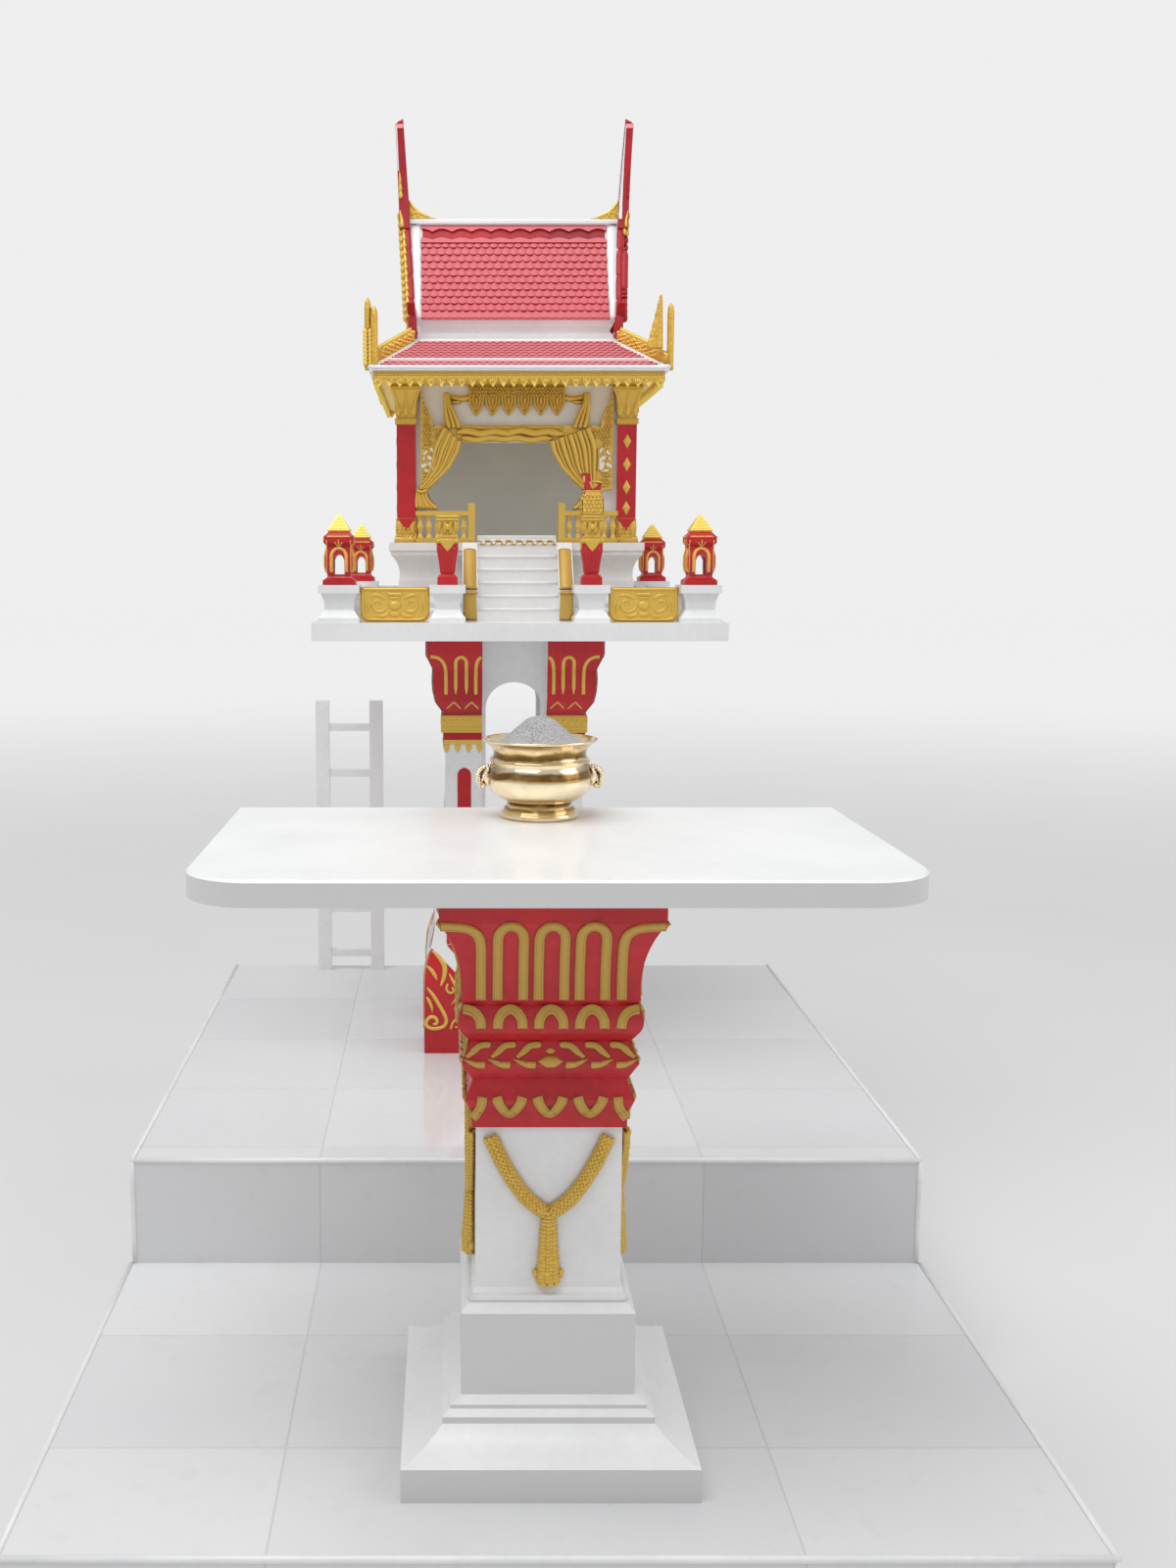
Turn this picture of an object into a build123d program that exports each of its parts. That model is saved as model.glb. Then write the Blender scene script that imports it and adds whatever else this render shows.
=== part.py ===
from build123d import *
from math import atan2, degrees
import os

# A spirit house: a small shrine on a four-legged stand, with an offering table
# in front of it, both on a tiled plinth of two steps.
# Millimetres, +Z up, the front faces -Y, the origin is under the middle of the plinth.

os.makedirs("parts", exist_ok=True)

# Tiled plinth
PLINTH_WIDTH = 1250
LOWER_TREAD = 745
UPPER_TREAD = 1215
STEP_RISE = 170
TILE_EDGE = 6

# Offering table
TABLE_WIDTH = 820
TABLE_DEPTH = 510
TABLE_SLAB = 30
TABLE_CORNER = 80
TABLE_SETBACK = 25
TABLE_BASE_HEIGHT = 226
TABLE_SHAFT = 175
TABLE_SHAFT_HEIGHT = 203
TABLE_CAPITAL_HEIGHT = 302
GARLAND_THICKNESS = 14

# Incense bowl
BOWL_RIM = 76.5
BOWL_HEIGHT = 105
BOWL_SAND_RISE = 33
BOWL_SETBACK = 82

# Stand
STAND_HEIGHT = 793
STAND_SHAFT = 258
STAND_REACH = 60
BAND_DROP = 182
BAND_HEIGHT = 32
LEG_GAP = 120
ARCH_WIDTH = 106
ARCH_SPRING = 655
ARCH_RISE = 49
ARCH_WALL = 20
BAND_THICKNESS = 4

# Platform and its parapet
PLATFORM_WIDTH = 714
PLATFORM_DEPTH = 750
PLATFORM_THICKNESS = 31
PLATFORM_SETBACK = 335
PARAPET_HEIGHT = 64
PARAPET_INSET = 12
CORNER_PEDESTAL = 70
INNER_PEDESTAL = 62
STAIR_GAP = 186
PARAPET_WALL = 26
RELIEF_PANEL = 14

# Small clearance where a finished piece is let in between two others
SEAT = 0.3

# Lanterns and newel posts
LANTERN_SLAB = 55
LANTERN_HEIGHT = 90
LANTERN_CAP = 30
NEWEL_WIDTH = 35
NEWEL_VASE = 71
NEWEL_CAPITAL = 47
NEWEL_CROWN = 71

# House
PODIUM_WIDTH = 460
PODIUM_HEIGHT = 138
STAIR_WIDTH = 142
STAIR_STEPS = 6
STAIR_RAIL = 27
PILLAR = 34
PILLAR_SPAN = 432
PILLAR_INSET = 26
CAPITAL_FLARE = 9
HOUSE_HEIGHT = 280
WALL = 12
DOORWAY_WIDTH = 283
DOORWAY_SHIFT = -20
DOORWAY_HEIGHT = 179
DOORWAY_HEAD = 162
DOORWAY_TIE = 93
BALUSTRADE_HEIGHT = 56
CURTAIN = 14

# Roof
EAVE_WIDTH = 520
EAVE_DEPTH = 600
CORNICE_HEIGHT = 13
FRINGE_DROP = 14
EAVE_EDGE = 5
SKIRT_RISE = 69
NECK_WIDTH = 360
NECK_DEPTH = 232
NECK_HEIGHT = 37
GABLE_WIDTH = 366
GABLE_DEPTH = 250
GABLE_RISE = 194
GABLE_LEAN = 3.7
RIDGE_BEAM = 10
BARGEBOARD = 14
SPIRE_HEIGHT = 165

# Ladder
LADDER_WIDTH = 151
LADDER_HEIGHT = 620
LADDER_RAIL = 30
LADDER_THICKNESS = 22
LADDER_RUNGS = 6
LADDER_MIDDLE = -348
LADDER_SETBACK = 25

# Levels and middles that follow from the sizes above
plinth_length = LOWER_TREAD + UPPER_TREAD
plinth_front = -plinth_length / 2
riser_y = plinth_front + LOWER_TREAD
tread_top = STEP_RISE
floor_top = 2 * STEP_RISE

table_y = plinth_front + TABLE_SETBACK + TABLE_DEPTH / 2
table_shaft_bottom = tread_top + TABLE_BASE_HEIGHT
table_shaft_top = table_shaft_bottom + TABLE_SHAFT_HEIGHT
table_capital_top = table_shaft_top + TABLE_CAPITAL_HEIGHT
table_top = table_capital_top + TABLE_SLAB
bowl_y = table_y + TABLE_DEPTH / 2 - BOWL_SETBACK

platform_front = riser_y + PLATFORM_SETBACK
shrine_y = platform_front + PLATFORM_DEPTH / 2
platform_bottom = floor_top + STAND_HEIGHT
platform_top = platform_bottom + PLATFORM_THICKNESS
parapet_top = platform_top + PARAPET_HEIGHT
lantern_top = parapet_top + LANTERN_HEIGHT

house_y = shrine_y + 25
podium_front = house_y - PODIUM_WIDTH / 2
podium_top = platform_top + PODIUM_HEIGHT
house_top = podium_top + HOUSE_HEIGHT
pillar_x = (PILLAR_SPAN - PILLAR) / 2
pillar_y = PODIUM_WIDTH / 2 - PILLAR_INSET - PILLAR / 2
wall_front_y = house_y - pillar_y - WALL / 2

cornice_top = house_top + CORNICE_HEIGHT
skirt_top = cornice_top + EAVE_EDGE + SKIRT_RISE
neck_top = skirt_top + NECK_HEIGHT
ridge_z = neck_top + GABLE_RISE


def finish(name, label):
    """Names the finished piece and writes it to its own file."""
    name.part.label = label
    export_step(name.part, f"parts/{label}.step")


def section(plane, half_width, steps):
    """A moulding's section, mirrored about its middle.

    Each step is the distance out from half_width, the height, and the sagitta of
    the arc that leads to the next step: 0 is a straight run, + swells out.
    """
    with BuildSketch(plane) as outline:
        with BuildLine():
            for (out, height, sagitta), (next_out, next_height, _) in zip(steps, steps[1:]):
                start = (half_width + out, height)
                end = (half_width + next_out, next_height)
                if sagitta == 0:
                    Line(start, end)
                else:
                    SagittaArc(start, end, -sagitta)
            Line((0, steps[0][1]), (half_width + steps[0][0], steps[0][1]))
            Line((half_width + steps[-1][0], steps[-1][1]), (0, steps[-1][1]))
            mirror(about=Plane.YZ)
        make_face()
    return outline.sketch


def moulding(half_x, half_y, middle, steps):
    """A block whose four sides carry the same moulding, mitred at the corners."""
    reach = max(half_x, half_y) + max(abs(step[0]) for step in steps) + 1
    across = Plane(origin=middle, x_dir=(1, 0, 0), z_dir=(0, -1, 0))
    along = Plane(origin=middle, x_dir=(0, 1, 0), z_dir=(1, 0, 0))
    with BuildPart() as body:
        extrude(section(across, half_x, steps), amount=reach, both=True)
        extrude(section(along, half_y, steps), amount=reach, both=True, mode=Mode.INTERSECT)
    return body.part


def block(x_range, y_range, z_range, mode=Mode.ADD):
    """A plain box between two corners, in the part that is open."""
    middle = tuple((low + high) / 2 for low, high in (x_range, y_range, z_range))
    size = [high - low for low, high in (x_range, y_range, z_range)]
    with Locations(middle):
        Box(*size, mode=mode)


# Plinth: a lower step under the whole object and an upper step under the stand

with BuildPart() as lower_step:
    block(
        (-PLINTH_WIDTH / 2, PLINTH_WIDTH / 2),
        (plinth_front, -plinth_front),
        (0, tread_top),
    )
    fillet(lower_step.edges().group_by(Axis.Z)[-1], TILE_EDGE)
finish(lower_step, "lower_step")

with BuildPart() as upper_step:
    block(
        (-PLINTH_WIDTH / 2 + TILE_EDGE, PLINTH_WIDTH / 2 - TILE_EDGE),
        (riser_y, -plinth_front - TILE_EDGE),
        (tread_top, floor_top),
    )
    fillet(upper_step.edges().group_by(Axis.Z)[-1], TILE_EDGE)
finish(upper_step, "upper_step")


# Offering table: moulded base, shaft, lotus capital and a slab with round front corners

shaft_half = TABLE_SHAFT / 2
table_middle = (0, table_y)

table_base_steps = [
    (89, 0, 0),
    (89, 42, -4),
    (40, 72, 0),
    (40, 80, 0),
    (31, 86, 0),
    (31, 91, 0),
    (17.5, 97, 0),
    (17.5, TABLE_BASE_HEIGHT - 26, 0),
    (8, TABLE_BASE_HEIGHT - 14, 0),
    (8, TABLE_BASE_HEIGHT - 10, 0),
    (0, TABLE_BASE_HEIGHT, 0),
]
with BuildPart() as table_base:
    add(moulding(shaft_half, shaft_half, (*table_middle, tread_top), table_base_steps))
finish(table_base, "table_base")

with BuildPart() as table_shaft:
    block(
        (-shaft_half, shaft_half),
        (table_y - shaft_half, table_y + shaft_half),
        (table_shaft_bottom, table_shaft_top),
    )
finish(table_shaft, "table_shaft")

table_capital_steps = [
    (5, 0, 0),
    (5, 20, 0),
    (13, 36, 0),
    (4, 59, 0),
    (17, 82, 0),
    (6.5, 106, 0),
    (14, 116, 7),
    (14, 152, 0),
    (17.5, 159, -9),
    (43.5, 256, 0),
    (43.5, TABLE_CAPITAL_HEIGHT - 14, 0),
    (72.5, TABLE_CAPITAL_HEIGHT - 14, 0),
    (72.5, TABLE_CAPITAL_HEIGHT, 0),
]
with BuildPart() as table_capital:
    add(moulding(shaft_half, shaft_half, (*table_middle, table_shaft_top), table_capital_steps))
finish(table_capital, "table_capital")

with BuildPart() as table_slab:
    block(
        (-TABLE_WIDTH / 2, TABLE_WIDTH / 2),
        (table_y - TABLE_DEPTH / 2, table_y + TABLE_DEPTH / 2),
        (table_capital_top, table_top),
    )
    front_corners = table_slab.edges().filter_by(Axis.Z).group_by(Axis.Y)[0]
    fillet(front_corners, TABLE_CORNER)
    chamfer(table_slab.faces().sort_by(Axis.Z)[-1].edges(), 3)
finish(table_slab, "table_slab")

# One garland: two swags that meet in a point, with a tassel below it
garland_half = shaft_half - 16
garland_top = TABLE_SHAFT_HEIGHT - 12
garland_point = 95
tassel_bottom = 12
band = 9
garland_plane = Plane(
    origin=(0, table_y - shaft_half, table_shaft_bottom), x_dir=(1, 0, 0), z_dir=(0, -1, 0)
)
with BuildPart() as garland:
    with BuildSketch(garland_plane):
        with BuildLine():
            SagittaArc((garland_half - band, garland_top), (0, garland_point + band), 9)
            SagittaArc((garland_half + band, garland_top), (band, garland_point - band), 9)
            Line((garland_half - band, garland_top), (garland_half + band, garland_top))
            Line((band, garland_point - band), (band, tassel_bottom + 26))
            Line((band, tassel_bottom + 26), (0, tassel_bottom))
            Line((0, tassel_bottom), (0, garland_point + band))
        make_face()
        mirror(about=Plane.YZ)
    extrude(amount=GARLAND_THICKNESS)
with BuildPart() as table_garlands:
    for turn in range(4):
        add(garland.part.rotate(Axis((*table_middle, 0), (0, 0, 1)), 90 * turn))
finish(table_garlands, "table_garlands")


# Incense bowl on the table: a round brass bowl full of sand, with two side handles.
# Its rounds are drawn with flats, each level as a radius and a height above the table.

bowl_flats = 40
neck_radius = 62
sand_floor = 60
sand_level = BOWL_HEIGHT - 15
sand_radius = neck_radius - 4
rim_inside = BOWL_RIM - 3
bowl_outline = [
    (53, 0),
    (50, 10),
    (40, 21),
    (52, 27),
    (66, 36),
    (70, 50),
    (66.6, 77),
    (neck_radius, 86),
    (BOWL_RIM, BOWL_HEIGHT),
]
bowl_hollow = [
    (sand_radius, sand_floor),
    (sand_radius, sand_level),
    (rim_inside, BOWL_HEIGHT),
]
sand_outline = [
    (sand_radius, sand_floor),
    (sand_radius, sand_level),
    (sand_radius * 0.5, BOWL_HEIGHT + 9),
    (2, BOWL_HEIGHT + BOWL_SAND_RISE),
]


def turned(levels):
    """A round body with flats, stacked from slices that taper upwards from their wide end.

    A slice that should flare is built the same way and then turned over.
    """
    slices = []
    for level, next_level in zip(levels, levels[1:]):
        (wide, start), (narrow, end) = sorted((level, next_level), reverse=True)
        rise = abs(end - start)
        foot = Plane((0, bowl_y, table_top + start))
        flats = foot * RegularPolygon(wide, bowl_flats, major_radius=False)
        part = extrude(flats, amount=rise, taper=degrees(atan2(wide - narrow, rise)))
        slices.append(part if end > start else part.mirror(foot))
    with BuildPart() as body:
        add(slices)
    return body.part


bowl_body = turned(bowl_outline)
bowl_space = turned(bowl_hollow)
with BuildPart() as incense_bowl:
    add(bowl_body)
    add(bowl_space, mode=Mode.SUBTRACT)
finish(incense_bowl, "incense_bowl")

sand_body = turned(sand_outline)
with BuildPart() as bowl_sand:
    add(sand_body)
finish(bowl_sand, "bowl_sand")

# Each handle is an eight-sided boss with a flat ring hanging from it
handle_reach = 84
handle_root = sand_radius + 1
boss_radius = 14
boss_taper = 14
boss_sides = 8
ring_radius = 13
ring_wire = 4
ring_sides = 12
boss_z = table_top + 56
with BuildPart() as bowl_handles:
    with BuildSketch(Plane.YZ.offset(handle_root)):
        with Locations((bowl_y, boss_z)):
            RegularPolygon(boss_radius, boss_sides)
    extrude(amount=handle_reach - ring_wire + 1 - handle_root, taper=boss_taper)
    with BuildSketch(Plane.YZ.offset(handle_reach - ring_wire)):
        with Locations((bowl_y, boss_z - ring_radius / 2)):
            RegularPolygon(ring_radius, ring_sides)
            RegularPolygon(ring_radius - ring_wire, ring_sides, mode=Mode.SUBTRACT)
    extrude(amount=ring_wire)
    mirror(about=Plane.YZ)
    add(incense_bowl.part, mode=Mode.SUBTRACT)
finish(bowl_handles, "bowl_handles")


# Stand: four corner legs with lion feet and moulded heads

stand_half = STAND_SHAFT / 2
leg_steps = [
    (40, 0, 0),
    (40, 118, 4),
    (29, 195, -4),
    (21, 280, -2),
    (0, STAND_HEIGHT - 303, 0),
    (0, STAND_HEIGHT - 223, 0),
    (4, STAND_HEIGHT - 196, 0),
    (4, STAND_HEIGHT - 143, 0),
    (18, STAND_HEIGHT - 123, 3),
    (22, STAND_HEIGHT - 62, 0),
    (35, STAND_HEIGHT - 34, 0),
    (35, STAND_HEIGHT, 0),
]
stand_middle = (0, shrine_y, floor_top)
stand_reach = stand_half + STAND_REACH
stand_body = moulding(stand_half, stand_half, stand_middle, leg_steps)
for side, side_name in ((-1, "left"), (1, "right")):
    for end, end_name in ((-1, "front"), (1, "back")):
        with BuildPart() as leg:
            add(stand_body)
            block(
                sorted((side * LEG_GAP / 2, side * stand_reach)),
                sorted((shrine_y + end * LEG_GAP / 2, shrine_y + end * stand_reach)),
                (floor_top, platform_bottom),
                mode=Mode.INTERSECT,
            )
        finish(leg, f"leg_{end_name}_{side_name}")

# Gold carved band round the two outer faces of each leg
band_bottom = platform_bottom - BAND_DROP
band_top = band_bottom + BAND_HEIGHT
band_half = stand_half + 4
with BuildPart() as leg_bands:
    for side in (-1, 1):
        for end in (-1, 1):
            block(
                sorted((side * LEG_GAP / 2, side * (band_half + BAND_THICKNESS))),
                sorted((shrine_y + end * LEG_GAP / 2, shrine_y + end * (band_half + BAND_THICKNESS))),
                (band_bottom, band_top),
            )
    block(
        (-band_half, band_half),
        (shrine_y - band_half, shrine_y + band_half),
        (band_bottom, band_top),
        mode=Mode.SUBTRACT,
    )
finish(leg_bands, "leg_bands")

# Arched walls between the legs, set back from the faces
arch_setback = 14
arch_out = stand_half - arch_setback
for turn, name in enumerate(("front", "right", "back", "left")):
    with BuildPart() as arch:
        with BuildSketch(Plane(origin=(0, 0, floor_top), x_dir=(1, 0, 0), z_dir=(0, -1, 0))):
            with Locations((0, STAND_HEIGHT / 2)):
                Rectangle(LEG_GAP, STAND_HEIGHT)
            with Locations((0, ARCH_SPRING / 2)):
                Rectangle(ARCH_WIDTH, ARCH_SPRING, mode=Mode.SUBTRACT)
            with Locations((0, ARCH_SPRING)):
                Ellipse(ARCH_WIDTH / 2, ARCH_RISE, mode=Mode.SUBTRACT)
        extrude(amount=ARCH_WALL)
    with BuildPart() as placed_arch:
        with Locations(Location((0, shrine_y, 0), (0, 0, 90 * turn))):
            add(arch.part.moved(Location((0, ARCH_WALL - arch_out, 0))))
    finish(placed_arch, f"arch_{name}")


# Platform slab and the low parapet on it

platform_half_x = PLATFORM_WIDTH / 2
platform_half_y = PLATFORM_DEPTH / 2
with BuildPart() as platform_slab:
    block(
        (-platform_half_x, platform_half_x),
        (shrine_y - platform_half_y, shrine_y + platform_half_y),
        (platform_bottom, platform_top),
    )
    fillet(platform_slab.edges().filter_by(Axis.Z), 8)
finish(platform_slab, "platform_slab")

# Base flare, waist and top slab that every pedestal of the parapet has
parapet_steps = [
    (0, 0, 0),
    (0, 8, 0),
    (-3, 11, 0),
    (-10, 22, 0),
    (-9, 36, 0),
    (-4, 50, 0),
    (0, 50, 0),
    (0, PARAPET_HEIGHT, 0),
]
corner_x = platform_half_x - PARAPET_INSET - CORNER_PEDESTAL / 2
corner_y = platform_half_y - PARAPET_INSET - CORNER_PEDESTAL / 2
inner_x = STAIR_GAP / 2 + INNER_PEDESTAL / 2
parapet_base = (0, shrine_y, platform_top)
pedestal = moulding(CORNER_PEDESTAL / 2, CORNER_PEDESTAL / 2, (0, 0, 0), parapet_steps)
small_pedestal = moulding(INNER_PEDESTAL / 2, INNER_PEDESTAL / 2, (0, 0, 0), parapet_steps)
corners = [(x, y) for x in (-corner_x, corner_x) for y in (-corner_y, corner_y)]
with BuildPart() as parapet_pedestals:
    with Locations(Plane(parapet_base)):
        with Locations(*corners):
            add(pedestal)
        with Locations((-inner_x, -corner_y), (inner_x, -corner_y)):
            add(small_pedestal)
finish(parapet_pedestals, "parapet_pedestals")

# Low walls that join the pedestals at the sides and the back
wall_steps = [(0, 0, 0), (0, 8, 0), (-5, 12, 0), (-5, 40, 0), (0, 44, 0), (0, 54, 0)]
for label, middle, across, forward, length in (
    ("parapet_left", (-corner_x, shrine_y), (1, 0, 0), (0, -1, 0), corner_y),
    ("parapet_right", (corner_x, shrine_y), (1, 0, 0), (0, -1, 0), corner_y),
    ("parapet_back", (0, shrine_y + corner_y), (0, 1, 0), (1, 0, 0), corner_x),
):
    wall_plane = Plane((*middle, platform_top), x_dir=across, z_dir=forward)
    wall_reach = length - CORNER_PEDESTAL / 2
    with BuildPart() as parapet_wall:
        extrude(section(wall_plane, PARAPET_WALL / 2, wall_steps), amount=wall_reach, both=True)
    finish(parapet_wall, label)

# Gold relief panels at the front, one on each side of the stair
panel_left = STAIR_GAP / 2 + INNER_PEDESTAL
panel_right = corner_x - CORNER_PEDESTAL / 2
panel_width = panel_right - panel_left
with BuildPart() as relief_panels:
    for side in (-1, 1):
        with BuildSketch(Plane((0, shrine_y - corner_y, platform_top), x_dir=(1, 0, 0), z_dir=(0, -1, 0))):
            with Locations((side * (panel_left + panel_right) / 2, (PARAPET_HEIGHT - 4) / 2)):
                Rectangle(panel_width, PARAPET_HEIGHT - 4)
        extrude(amount=RELIEF_PANEL / 2, both=True)
    foot_corners = relief_panels.edges().filter_by(Axis.Y).group_by(Axis.Z)[0]
    fillet(foot_corners, 14)
finish(relief_panels, "relief_panels")


# Lanterns on the corner pedestals: a bulging post with arched niches under a gold cap

slab_half = LANTERN_SLAB / 2
lantern_steps = [
    (0, 0, 0),
    (0, 8, 0),
    (-6, 12, 0),
    (-8, 15, 0),
    (-4, 32, 0),
    (-4, 48, 0),
    (-8, LANTERN_HEIGHT - 24, 0),
    (-2, LANTERN_HEIGHT - 18, 0),
    (-2, LANTERN_HEIGHT - 8, 0),
    (-10, LANTERN_HEIGHT, 0),
]
niche_width = 19
niche_bottom = 18
niche_spring = 42
lantern = moulding(slab_half, slab_half, (0, 0, 0), lantern_steps)
with BuildPart() as lantern_post:
    add(lantern)
    for plane in (Plane.XZ, Plane.YZ):
        with BuildSketch(plane):
            with Locations((0, (niche_bottom + niche_spring) / 2)):
                Rectangle(niche_width, niche_spring - niche_bottom)
            with BuildLine():
                Polyline(
                    (-niche_width / 2, niche_spring),
                    (niche_width / 2, niche_spring),
                    (niche_width * 0.34, niche_spring + niche_width * 0.36),
                    (0, niche_spring + niche_width * 0.55),
                    (-niche_width * 0.34, niche_spring + niche_width * 0.36),
                    close=True,
                )
            make_face()
        extrude(amount=LANTERN_SLAB, both=True, mode=Mode.SUBTRACT)
lantern_plane = Plane((0, shrine_y, parapet_top))
with BuildPart() as lantern_posts:
    with Locations(lantern_plane):
        with Locations(*corners):
            add(lantern_post.part)
finish(lantern_posts, "lantern_posts")

cap_steps = [(-10, 0, 0), (-8, 3, 0), (2 - slab_half, LANTERN_CAP, 0)]
lantern_cap = moulding(slab_half, slab_half, (0, 0, 0), cap_steps)
with BuildPart() as lantern_caps:
    with Locations(Plane((0, shrine_y, lantern_top))):
        with Locations(*corners):
            add(lantern_cap)
finish(lantern_caps, "lantern_caps")


# Newel posts at the foot of the stair: a red vase and a gold capital, and on the right a
# crown with a notched top that stands higher on its left

newel_half = NEWEL_WIDTH / 2
vase_steps = [
    (0, 0, 0),
    (0, 13, 0),
    (-6, 18, 0),
    (-3.5, 40, 0),
    (0, 60, 0),
    (0, NEWEL_VASE, 0),
]
newel_places = [(-inner_x, -corner_y), (inner_x, -corner_y)]
vase = moulding(newel_half, newel_half, (0, 0, 0), vase_steps)
with BuildPart() as newel_vases:
    with Locations(Plane((0, shrine_y, parapet_top))):
        with Locations(*newel_places):
            add(vase)
finish(newel_vases, "newel_vases")

newel_capital_steps = [
    (1, 0, 0),
    (1, 8, -3),
    (-3, 20, 0),
    (-2, 30, 0),
    (2, NEWEL_CAPITAL - 8, 0),
    (2, NEWEL_CAPITAL, 0),
]
newel_capital = moulding(newel_half, newel_half, (0, 0, 0), newel_capital_steps)
with BuildPart() as newel_capitals:
    with Locations(Plane((0, shrine_y, parapet_top + NEWEL_VASE))):
        with Locations(*newel_places):
            add(newel_capital)
finish(newel_capitals, "newel_capitals")

crown_steps = [
    (0, 0, 0),
    (0, 30, 0),
    (-4, 36, 0),
    (-4, 44, 0),
    (1, NEWEL_CROWN, 0),
]
crown_base = (inner_x, shrine_y - corner_y, parapet_top + NEWEL_VASE + NEWEL_CAPITAL)
crown_out = newel_half + 2
with BuildPart() as newel_crown:
    add(moulding(newel_half, newel_half, crown_base, crown_steps))
    with BuildSketch(Plane(crown_base, x_dir=(1, 0, 0), z_dir=(0, -1, 0))):
        Polygon(
            (-6, NEWEL_CROWN + 1),
            (1, 42),
            (7, 56),
            (crown_out, 56),
            (crown_out, NEWEL_CROWN + 1),
            align=None,
        )
    extrude(amount=crown_out, both=True, mode=Mode.SUBTRACT)
finish(newel_crown, "newel_crown")


# Stair from the platform to the podium, between gold rails

stair_foot = shrine_y - corner_y + INNER_PEDESTAL / 2 + 4
stair_run = podium_front - stair_foot
tread = stair_run / STAIR_STEPS
rise = PODIUM_HEIGHT / STAIR_STEPS
stair_half = STAIR_WIDTH / 2
with BuildPart() as stair_flight:
    for step in range(STAIR_STEPS):
        block(
            (-stair_half, stair_half),
            (stair_foot + step * tread, podium_front),
            (platform_top + step * rise, platform_top + (step + 1) * rise),
        )
finish(stair_flight, "stair_flight")

rail_foot = 52
with BuildPart() as stair_rails:
    for side in (-1, 1):
        with BuildSketch(Plane.YZ.offset(side * stair_half)):
            Polygon(
                (stair_foot, platform_top),
                (podium_front, platform_top),
                (podium_front, podium_top),
                (podium_front - 12, podium_top),
                (stair_foot, platform_top + rail_foot),
                align=None,
            )
        extrude(amount=side * STAIR_RAIL)
finish(stair_rails, "stair_rails")


# House podium with a narrow waist

podium_half = PODIUM_WIDTH / 2
podium_steps = [
    (0, 0, 0),
    (0, 16, 0),
    (-6, 22, 4),
    (-15, 42, 0),
    (-17, 50, 0),
    (-17, PODIUM_HEIGHT - 68, -7),
    (-3, PODIUM_HEIGHT - 22, 0),
    (-3, PODIUM_HEIGHT - 16, 0),
    (0, PODIUM_HEIGHT - 14, 0),
    (0, PODIUM_HEIGHT, 0),
]
with BuildPart() as podium:
    add(moulding(podium_half, podium_half, (0, house_y, platform_top), podium_steps))
finish(podium, "podium")

# Turned balusters between two rails, one run on each side of the stair head
rail_start = stair_half + 4
rail_end = pillar_x - PILLAR / 2 - SEAT
rail_y = podium_front + 12
rail_height = 8
rail_depth = 16
post_width = 12
post_rise = 14
baluster_count = 6
baluster_radius = 5
baluster_neck = 2.6
baluster_height = BALUSTRADE_HEIGHT - 2 * rail_height
baluster_pitch = (rail_end - rail_start - post_width) / baluster_count
baluster_steps = [
    (baluster_radius, 0, 0),
    (baluster_neck, baluster_height * 0.2, 0),
    (baluster_radius, baluster_height * 0.5, 0),
    (baluster_neck, baluster_height * 0.8, 0),
    (baluster_radius, baluster_height, 0),
]
baluster = moulding(0, 0, (0, 0, 0), baluster_steps)
with BuildPart() as balustrades:
    for low in (podium_top, podium_top + BALUSTRADE_HEIGHT - rail_height):
        block(
            (rail_start, rail_end),
            (rail_y - rail_depth / 2, rail_y + rail_depth / 2),
            (low, low + rail_height),
        )
    block(
        (rail_start, rail_start + post_width),
        (rail_y - rail_depth / 2, rail_y + rail_depth / 2),
        (podium_top, podium_top + BALUSTRADE_HEIGHT + post_rise),
    )
    for count in range(baluster_count):
        baluster_x = rail_start + post_width + baluster_pitch * (count + 0.5)
        with Locations((baluster_x, rail_y, podium_top + rail_height)):
            add(baluster)
    mirror(about=Plane.YZ)
finish(balustrades, "balustrades")


# House: four pillars, walls set back between them, and an open front

pillar_places = [(x, house_y + y) for x in (-pillar_x, pillar_x) for y in (-pillar_y, pillar_y)]
pillar_base_height = 44
pillar_capital_height = 70
shaft_height = HOUSE_HEIGHT - pillar_base_height - pillar_capital_height
base_steps = [
    (5, 0, 0),
    (5, 5, -2),
    (1.5, 24, 0),
    (0, pillar_base_height, 0),
]
capital_steps = [
    (0, 0, 0),
    (2.5, 3, 0),
    (2.5, 9, 0),
    (0, 12, 0),
    (0, 20, 0),
    (2.5, 23, -3),
    (CAPITAL_FLARE, pillar_capital_height - 10, 0),
    (CAPITAL_FLARE, pillar_capital_height, 0),
]
pillar_base = moulding(PILLAR / 2, PILLAR / 2, (0, 0, 0), base_steps)
pillar_capital = moulding(PILLAR / 2, PILLAR / 2, (0, 0, 0), capital_steps)

with BuildPart() as pillar_bases:
    with Locations(*[(x, y, podium_top) for x, y in pillar_places]):
        add(pillar_base)
finish(pillar_bases, "pillar_bases")

with BuildPart() as pillar_shafts:
    with Locations(*[(x, y, podium_top + pillar_base_height + shaft_height / 2) for x, y in pillar_places]):
        Box(PILLAR, PILLAR, shaft_height)
finish(pillar_shafts, "pillar_shafts")

with BuildPart() as pillar_capitals:
    with Locations(*[(x, y, house_top - pillar_capital_height) for x, y in pillar_places]):
        add(pillar_capital)
finish(pillar_capitals, "pillar_capitals")

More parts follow.
